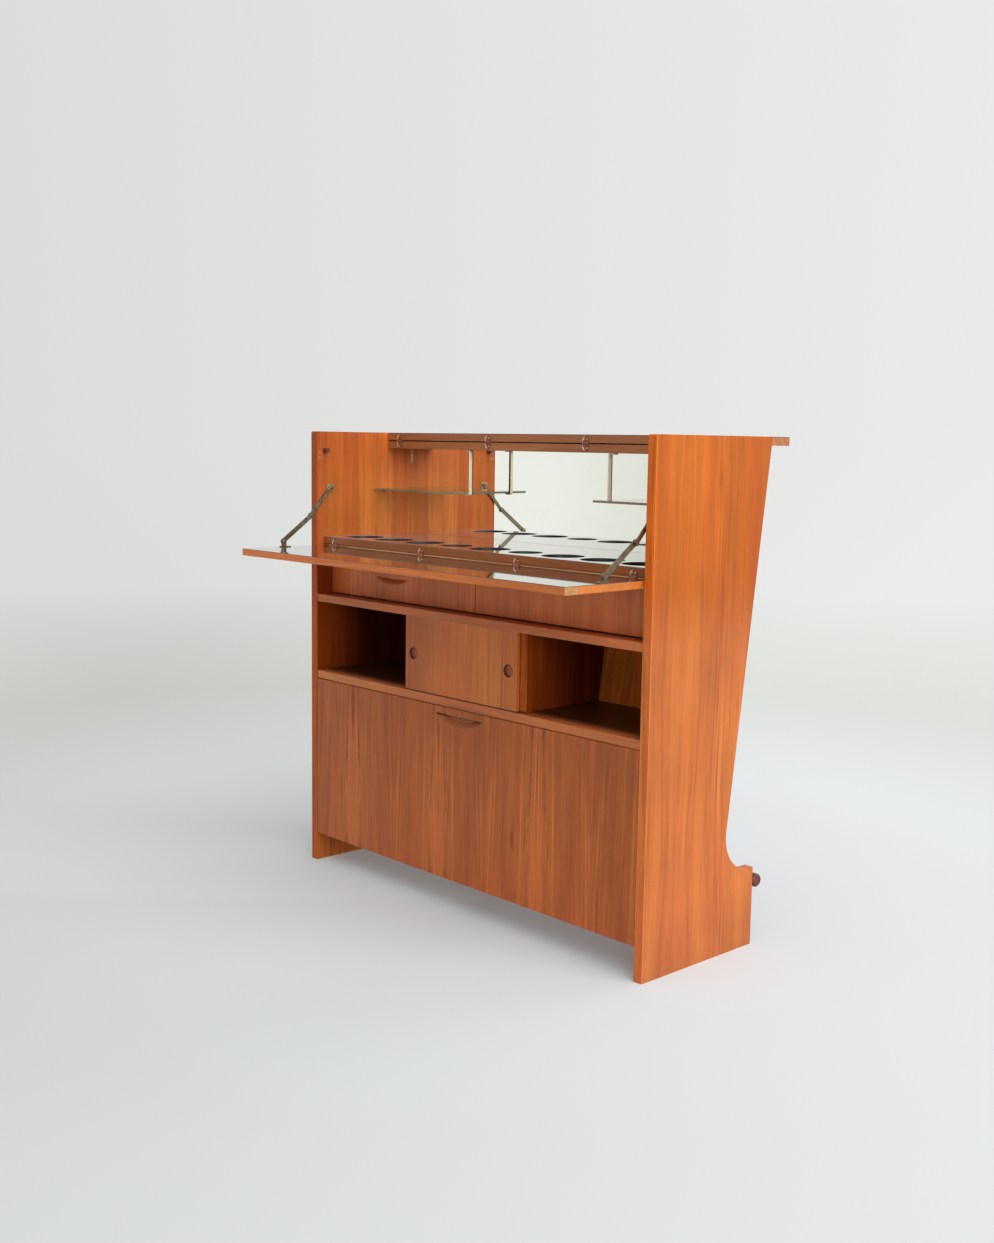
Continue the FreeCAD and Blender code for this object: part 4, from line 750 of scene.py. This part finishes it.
def turned_piece(profile, centre, axis, around=28):
    """A profile of (radius, height) pairs turned about an axis through a centre.

    A point is centre + height * axis + radius * (cos angle * side + sin angle * other side).
    """
    axis = np.array(Vector(axis).normalized())
    side = np.array(Vector(axis).orthogonal().normalized())
    other = np.cross(axis, side)
    angle = np.linspace(0, 2 * np.pi, around, endpoint=False)
    radius, height = np.array(profile, float).T
    ring = np.cos(angle)[:, None] * side + np.sin(angle)[:, None] * other
    rings = np.array(centre) + height[:, None, None] * axis + radius[:, None, None] * ring[None]
    return capped_tube(rings), np.stack([np.cos(angle), np.sin(angle)], axis=-1), radius


def screw_head(centre, normal, radius, dome=1.0):
    """A countersunk head, slightly domed: height falls with the square of the radius.

    Its UV map is the head seen from above, so that the material can draw the slot.
    """
    share = np.array([1.0, 1.0, 0.94, 0.8, 0.55, 0.28, 0.1])
    height = np.array([-0.35, *(dome * np.array([0.06, 0.12, 0.17, 0.22, 0.25, 0.26]))]) * radius
    profile = np.stack([share * radius, height], axis=-1)
    made, ring, radii = turned_piece(profile, centre, normal, 24)
    map_rings = (ring[None] * (radii / radius)[:, None, None] * 0.5 + 0.5).reshape(-1, 2)
    return made, np.concatenate([map_rings, [[0.5, 0.5], [0.5, 0.5]]])


def screw_set(name, places, body, dome=1.0):
    """Several screw heads as one piece, each place a centre, a normal and a radius."""
    heads = [screw_head(*place, dome) for place in places]
    return piece(name, [head[0] for head in heads], body, SCREW, [head[1] for head in heads])


def rivet(centre, normal, radius, rise):
    """A domed rivet head: a quarter of an ellipse turned about the rivet's axis."""
    turn = np.linspace(0, np.pi / 2 * 0.93, 8)
    profile = [(radius, -rise * 0.4), *np.stack([radius * np.cos(turn), rise * np.sin(turn)], axis=-1)]
    return turned_piece(profile, centre, normal, 28)[0]


def bent_strip(path, width_axis, width, thickness, edge):
    """A strip with rounded edges carried along a bent path in the plane across its width.

    The section is a rounded rectangle. At each point of the path it is spanned by the width axis and
    the path's normal, which is the tangent crossed with the width axis.
    """
    path = np.array(path, float)
    wide = np.array(width_axis, float)
    tangent = np.gradient(path, axis=0)
    tangent /= np.linalg.norm(tangent, axis=1)[:, None]
    normal = np.cross(tangent, wide)
    turn = np.linspace(0, np.pi / 2, 5)
    corner = np.stack([np.cos(turn), np.sin(turn)], axis=-1) * edge
    quarter = corner + np.array([width / 2 - edge, thickness / 2 - edge])
    section = np.concatenate([quarter, (quarter * [-1, 1])[::-1], quarter * [-1, -1],
                              (quarter * [1, -1])[::-1]])
    rings = (path[:, None, :] + section[None, :, :1] * wide
             + section[None, :, 1:] * normal[:, None, :])
    return capped_tube(rings[:, ::-1])


def rounded_path(corners, radius):
    """A path through corners, each rounded by an arc that is tangent to both runs.

    The arc's points are blended as a quadratic curve between points one radius before and after.
    """
    corners = [np.array(corner, float) for corner in corners]
    points = [corners[0]]
    for before, corner, after in zip(corners, corners[1:], corners[2:]):
        start = corner + (before - corner) / np.linalg.norm(before - corner) * radius
        end = corner + (after - corner) / np.linalg.norm(after - corner) * radius
        share = np.linspace(0, 1, 7)[:, None]
        points.extend((1 - share) ** 2 * start + 2 * share * (1 - share) * corner + share ** 2 * end)
    points.append(corners[-1])
    return np.array(points)


def bar(name, x, y, z, body, material):
    """A straight strip along X with a rounded section: a bent strip whose path is straight."""
    path = np.stack([np.linspace(*x, 9), np.full(9, sum(y) / 2), np.full(9, sum(z) / 2)], axis=-1)
    return piece(name, [bent_strip(path, (0, 1, 0), y[1] - y[0], z[1] - z[0], TRIM_EDGE)], body,
                 material)


def plate_rim(place, start, run, face, length):
    """A low rim round a hinge plate with a half-round end.

    The outline runs up one side, round the end and down the other, at a distance inside the plate's
    own. Each distance has its own height, all under 0.1 mm, so that the closed halves don't touch. The
    UV map tells the inner slope of the left half (1), which faces the light and gets a painted
    highlight, from the rest (0).
    """
    run, face = np.array(run, float), np.array(face, float)
    side = np.array([1.0, 0.0, 0.0])
    turn = np.linspace(0, np.pi, 25)
    insets = np.array([0.0002, 0.0002, 0.0009, 0.0012, 0.0028, 0.0030])
    heights = np.array([-0.0004, 0.00002, 0.00009, 0.00009, 0.00002, -0.0004])
    straight = [0.0026, 0.0035, (length - HINGE_HALF) / 2]
    rows = []
    for inset, height in zip(insets, heights):
        radius = HINGE_HALF - inset
        across = np.concatenate([[radius] * 3, radius * np.cos(turn), [-radius] * 3])
        along = np.concatenate([straight, length - HINGE_HALF + radius * np.sin(turn), straight[::-1]])
        rows.append(np.array([place, *start]) + across[:, None] * side + along[:, None] * run
                    + height * face)
    rows = np.array(rows)
    faces = grid_faces(*rows.shape[:2])
    if np.dot(np.cross(side, run), face) < 0:
        faces = faces[:, ::-1]
    # The share of the painted highlight: the inner slope's left side, which faces the light from the
    # right.
    lit = np.clip(0.2 - 2.0 * (rows[:, :, 0] - place) / HINGE_HALF, 0, 1)
    shade = lit * np.array([0.0, 0.0, 0.6, 1.0, 1.0, 1.0])[:, None]
    flat = np.stack([shade, shade], axis=-1).reshape(-1, 2)
    return (rows.reshape(-1, 3), faces.tolist()), flat


def hinge_screws(label, start, run, face, length, body):
    """The screws of a row of hinge plates, which run from a (depth, height) start."""
    reach = length - HINGE_SCREW_INSET
    screw_set(f"{label}_screws", [
        ((place + offset, start[0] + reach * run[1], start[1] + reach * run[2]), face,
         HINGE_SCREW_RADIUS)
        for place in HINGE_PLACES for offset in HINGE_SCREWS], body, FLAT_HEAD)


def hinge_rims(label, start, run, face, length, body):
    """The rims of the same plates."""
    rims = [plate_rim(place, start, run, face, length) for place in HINGE_PLACES]
    piece(f"{label}_rims", [rim[0] for rim in rims], body, RIM, [rim[1] for rim in rims])


# Shelf straps: a tab under the fixed top, a drop beside the glass and a hook under its end.
for side, sign in (("left", -1), ("right", 1)):
    low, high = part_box(f"shelf_strap_{side}")
    near, far = sorted((abs(low.x), abs(high.x)))
    drop, top, foot = near + STRAP_THICK / 2, high.z - STRAP_THICK / 2, low.z + STRAP_THICK / 2
    middle = (low.y + high.y) / 2
    path = rounded_path([(sign * x, middle, z) for x, z in (
        (far, top), (drop, top), (drop, foot), (near + STRAP_HOOK, foot))], STRAP_BEND)
    strap = piece(f"shelf_strap_bent_{side}",
                  [bent_strip(path, (0, 1, 0), high.y - low.y, STRAP_THICK, 0.0008)],
                  "carcass", STRAP_BRASS)
    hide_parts(f"shelf_strap_{side}")

# Screws and rims on the hinge plates of the leaf and the flap.
leaf_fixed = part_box("leaf_hinge_fixed_plates")
leaf_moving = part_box("leaf_hinge_moving_plates")
leaf_line = (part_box("counter_leaf")[0].y - HINGE_PLATE, (leaf_fixed[1].z + leaf_moving[0].z) / 2)
flap_face = FLOOR_LOW.y - HINGE_PLATE
plate_top = LAMINATE_TOP + HINGE_PLATE
flap_line = (flap_face - HINGE_PLAY, plate_top + HINGE_PLAY)
leaf_hinges = (
    ("leaf_hinge_lower", leaf_line, DOWN, TO_FRONT, leaf_line[1] - leaf_fixed[0].z, "carcass"),
    ("leaf_hinge_upper", leaf_line, UP, TO_FRONT, leaf_moving[1].z - leaf_line[1], "counter_leaf"))
flap_hinges = (
    ("flap_hinge_fixed", (flap_face, flap_line[1]), UP, TO_FRONT,
     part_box("flap_hinge_fixed_plates")[1].z - flap_line[1], "carcass"),
    ("flap_hinge_moving", (flap_line[0], plate_top), TO_FRONT, UP,
     flap_line[0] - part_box("flap_hinge_moving_plates")[0].y, "drop_flap"))
for hinges in (*flap_hinges, *leaf_hinges):
    hinge_screws(*hinges)
for hinges in (*leaf_hinges, *flap_hinges):
    hinge_rims(*hinges)

# Stay fittings: domed rivets on the pivots, and screws in the wall plates and flap plates.
wall_screws, foot_screws = [], []
for side, sign in (("left", -1), ("right", 1)):
    upper_inner, lower_inner = (min(abs(corner.x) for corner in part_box(f"stay_{link}_link_{side}"))
                                for link in ("upper", "lower"))
    ear_inner = lower_inner + STAY_LINK - 0.0003 - STAY_EAR
    inward = (-sign, 0, 0)
    for label, x, place, radius, rise, body in (
            ("wall", upper_inner, STAY_WALL, 0.0038, 0.0014, "carcass"),
            ("knuckle", lower_inner + STAY_LINK - 0.0010, STAY_KNUCKLE, 0.0046, 0.0012,
             f"stay_lower_{side}"),
            ("foot", ear_inner, STAY_FOOT, 0.0038, 0.0014, "drop_flap")):
        piece(f"stay_{label}_rivet_{side}", [rivet((sign * x, *place), inward, radius, rise)], body,
              STAY_METAL)
    for offset in STAY_SCREWS:
        wall_screws.append(((sign * WALL_PLATE_FACE, STAY_WALL[0] + offset, STAY_WALL[1] - 0.004),
                            inward, STAY_SCREW_RADIUS))
        foot_screws.append(((sign * (ear_inner - 0.004), STAY_FOOT[0] + offset * 1.1,
                             LAMINATE_TOP + 0.002), UP, STAY_SCREW_RADIUS))
screw_set("stay_wall_screws", wall_screws, "carcass")
screw_set("stay_foot_screws", foot_screws, "drop_flap")

# Screws of the flush latch plates in the flap's ends.
latch_low, latch_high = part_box("flap_latch_plates")
flap_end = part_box("drop_flap")[1].x
screw_set("latch_plate_screws", [
    ((sign * flap_end, (latch_low.y + latch_high.y) / 2 + offset, (latch_low.z + latch_high.z) / 2),
     (sign, 0, 0), LATCH_SCREW_RADIUS)
    for sign in (-1, 1) for offset in LATCH_SCREWS], "drop_flap")

# Thin trim: a dark strip in the gap under the folded leaf, painted shade of the gap; a lipping with
# its pale line under the floor's front edge, brightened as painted light; the reveal over the
# fall-front door, and the clips at the mirror's upper corners.
top_low, top_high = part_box("fixed_top")
lipping_z = FLOOR_LOW.z - LIPPING_DROP
trim_x = (TRIM_GAP - HALF_INNER, HALF_INNER - TRIM_GAP)
bar("leaf_gap_shade_strip", (0.0006 - HALF_INNER, HALF_INNER - 0.0006),
    (top_low.y + 0.004, top_low.y + 0.012),
    (top_high.z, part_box("counter_leaf")[0].z - 0.00004), "carcass", GAP_SHADE)
bar("floor_lipping", trim_x, (FLOOR_LOW.y + 0.0006, FLOOR_LOW.y + LIPPING_DEPTH),
    (lipping_z, FLOOR_LOW.z), "carcass", floor_veneer)
bar("floor_lipping_line", trim_x, (FLOOR_LOW.y + 0.0003, FLOOR_LOW.y + LIPPING_DEPTH),
    (FLOOR_LOW.z - LIPPING_LINE_DROP, lipping_z), "carcass", BRIGHTENED_LIPPING)
bar("door_reveal", trim_x, (SHELF_LOW.y + 0.0004, SHELF_LOW.y + 0.014),
    (DOOR_HIGH.z + 0.0010, SHELF_LOW.z), "carcass", shelf_veneer)
mirror_low, mirror_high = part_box("mirror")
piece("mirror_clips", [
    bent_strip([(sign * (HALF_INNER - 0.003), mirror_low.y - 0.0007, mirror_high.z - drop)
                for drop in CLIP_DROPS], (1, 0, 0), 0.0045, 0.0012, 0.0004)
    for sign in (-1, 1)], "carcass", STRAP_BRASS)

# ----- camera
YAW = math.radians(-47.04)
PITCH = math.radians(-7.33)
ROLL = math.radians(0.863)
FOCAL_PIXELS = 1398.8
PICTURE_HEIGHT = 1243
CAMERA_PLACE = (2.2555, -1.9882 + FRONT, 1.0420)
ahead = Vector((math.sin(YAW) * math.cos(PITCH), math.cos(YAW) * math.cos(PITCH), math.sin(PITCH)))
level_right = Vector((math.cos(YAW), -math.sin(YAW), 0))
level_up = level_right.cross(ahead)
right = math.cos(ROLL) * level_right + math.sin(ROLL) * level_up
up = math.cos(ROLL) * level_up - math.sin(ROLL) * level_right
camera_data = bpy.data.cameras.new("camera")
camera_data.sensor_width = 36
camera_data.lens = FOCAL_PIXELS / PICTURE_HEIGHT * camera_data.sensor_width
camera_data.clip_end = 200
camera = shown("camera", camera_data)
camera.matrix_world = Matrix((*zip(right, up, -ahead, CAMERA_PLACE), (0, 0, 0, 1)))
bpy.context.scene.camera = camera


# ----- floor, world and lamps
SIDEWAYS = (0.68, 0.73, 0.0)  # level directions across and along the camera's view
ONWARD = (-0.73, 0.68, 0.0)


def dot(tree, vector, direction):
    """How far a vector reaches in a direction."""
    return vector_maths(tree, "DOT_PRODUCT", vector, direction, "Value")


def ray_mask(tree):
    """1 for rays seen directly, in a reflection or through glass, and 0 for the light's own."""
    rays = node(tree, "LightPath").outputs
    seen = maths(tree, "MAXIMUM", rays["Is Camera Ray"], rays["Is Glossy Ray"])
    return maths(tree, "MAXIMUM", seen, rays["Is Transmission Ray"])


def backdrop(tree, direction):
    """The pale backdrop in a direction: darker left than right, and brightest far to the left."""
    flat = vector_maths(tree, "NORMALIZE", direction)
    side = dot(tree, flat, SIDEWAYS)
    wall = blended(tree, remap(tree, side, -0.36, 0.36), (0.700, 0.715, 0.705), (0.830, 0.835, 0.815))
    window_wall = blended(tree, remap(tree, dot(tree, flat, ONWARD), -0.045, 0.04),
                          (0.775, 0.780, 0.715), (0.900, 0.905, 0.860))
    return blended(tree, remap(tree, side, -0.5, -0.85), wall, window_wall)


def studio_floor():
    """A large round floor: rings of points that grow outwards, joined by quads.

    Near the cabinet it is matt, with painted light and shade: paler to the right, darker to the left
    and from 1.5 m out, lighter and cooler close by, and lifted a little by glow; far out it fades into
    the backdrop.
    """
    angle = np.linspace(0, 2 * np.pi, 96, endpoint=False)
    radius = np.array([0.02, 0.5, 1, 2, 4, 8, 16, 32, 60, 100])
    points = np.stack([radius[:, None] * np.cos(angle), radius[:, None] * np.sin(angle),
                       np.zeros((len(radius), len(angle)))], axis=-1).reshape(-1, 3)
    points = np.concatenate([points, [[0, 0, 0]]])
    step = np.arange(len(angle))
    middle = np.stack([(step + 1) % len(angle), step, np.full(len(angle), len(points) - 1)], axis=-1)
    faces = [*grid_faces(len(radius), len(angle), closed=True).tolist(), *middle.tolist()]
    mesh = bpy.data.meshes.new("studio_floor")
    mesh.from_pydata(points.tolist(), [], [face[::-1] for face in faces])
    material, tree, shader = new_material("pale_floor")
    tree.nodes.remove(shader)
    seen = ray_mask(tree)
    place = coordinates(tree)
    distance = vector_maths(tree, "LENGTH", place, result="Value")
    # Painted shadow and light: darker to the left, where the cabinet's broad soft shadow falls, paler
    # to the right.
    painted = blended(tree, remap(tree, dot(tree, place, SIDEWAYS), -1.6, 1.0),
                      (0.570, 0.590, 0.587), (0.765, 0.800, 0.812))
    # Painted shade: darker from 1.5 to 2.9 m out, where the floor behind the cabinet lies in shade.
    fall = remap(tree, distance, 1.5, 2.9, 1.0, 0.86)
    # Painted light: close to the cabinet the floor turns lighter and cooler, against the orange light
    # the cabinet throws on it.
    near = remap(tree, distance, 0.35, 1.1, 1.0, 0.0)
    dimming = joined(tree, *(maths(tree, "MULTIPLY_ADD", near, gain, base) for gain, base in (
        (0.02, fall), (0.07, fall), (0.12, maths(tree, "POWER", fall, 1.5)))))
    dimmed = blended(tree, 1.0, painted, dimming, "MULTIPLY")
    matt = node(tree, "BsdfDiffuse", {"Color": blended(tree, seen, (0.48, 0.47, 0.46), dimmed)})
    glow = node(tree, "Emission", {"Color": backdrop(tree, place), "Strength": 1.0})
    # Near the cabinet 14% of the backdrop's glow is mixed in, a painted light that lifts the floor's
    # shadows.
    far = times(tree, seen, remap(tree, distance, 2.4, 7.0, 0.14, 1.0))
    mixed = node(tree, "MixShader", {0: far, 1: matt.outputs[0], 2: glow.outputs[0]})
    feed(tree, tree.nodes["Material Output"], {"Surface": mixed.outputs[0]})
    mesh.materials.append(material)
    floor = shown("studio_floor", mesh)


def studio_world():
    """Even soft light, with a pale backdrop for what is seen directly, mirrored or through glass."""
    world = bpy.data.worlds.new("studio")
    world.use_nodes = True
    bpy.context.scene.world = world
    tree = world.node_tree
    seen = backdrop(tree, coordinates(tree, "Generated"))
    feed(tree, tree.nodes["Background"], {"Color": blended(tree, ray_mask(tree), (0.37, 0.37, 0.38),
                                                           seen)})


def soft_sun(name, toward, strength, spread, colour):
    """A soft lamp that shines from the direction toward it."""
    data = bpy.data.lights.new(name, "SUN")
    data.energy = strength
    data.angle = math.radians(spread)
    data.color = colour
    lamp = shown(name, data)
    lamp.rotation_mode = "QUATERNION"
    lamp.rotation_quaternion = Vector(toward).to_track_quat("Z", "Y")


studio_floor()
studio_world()
soft_sun("window_light", (0.86, -0.10, 0.50), 2.95, 75, (1.0, 0.985, 0.96))
soft_sun("ceiling_light", (-0.1, -0.15, 1.0), 0.6, 80, (0.97, 0.985, 1.0))
soft_sun("rear_light", (0.25, 1.0, 0.33), 0.5, 30, (1.0, 1.0, 1.0))

bpy.context.scene.view_settings.view_transform = "Standard"
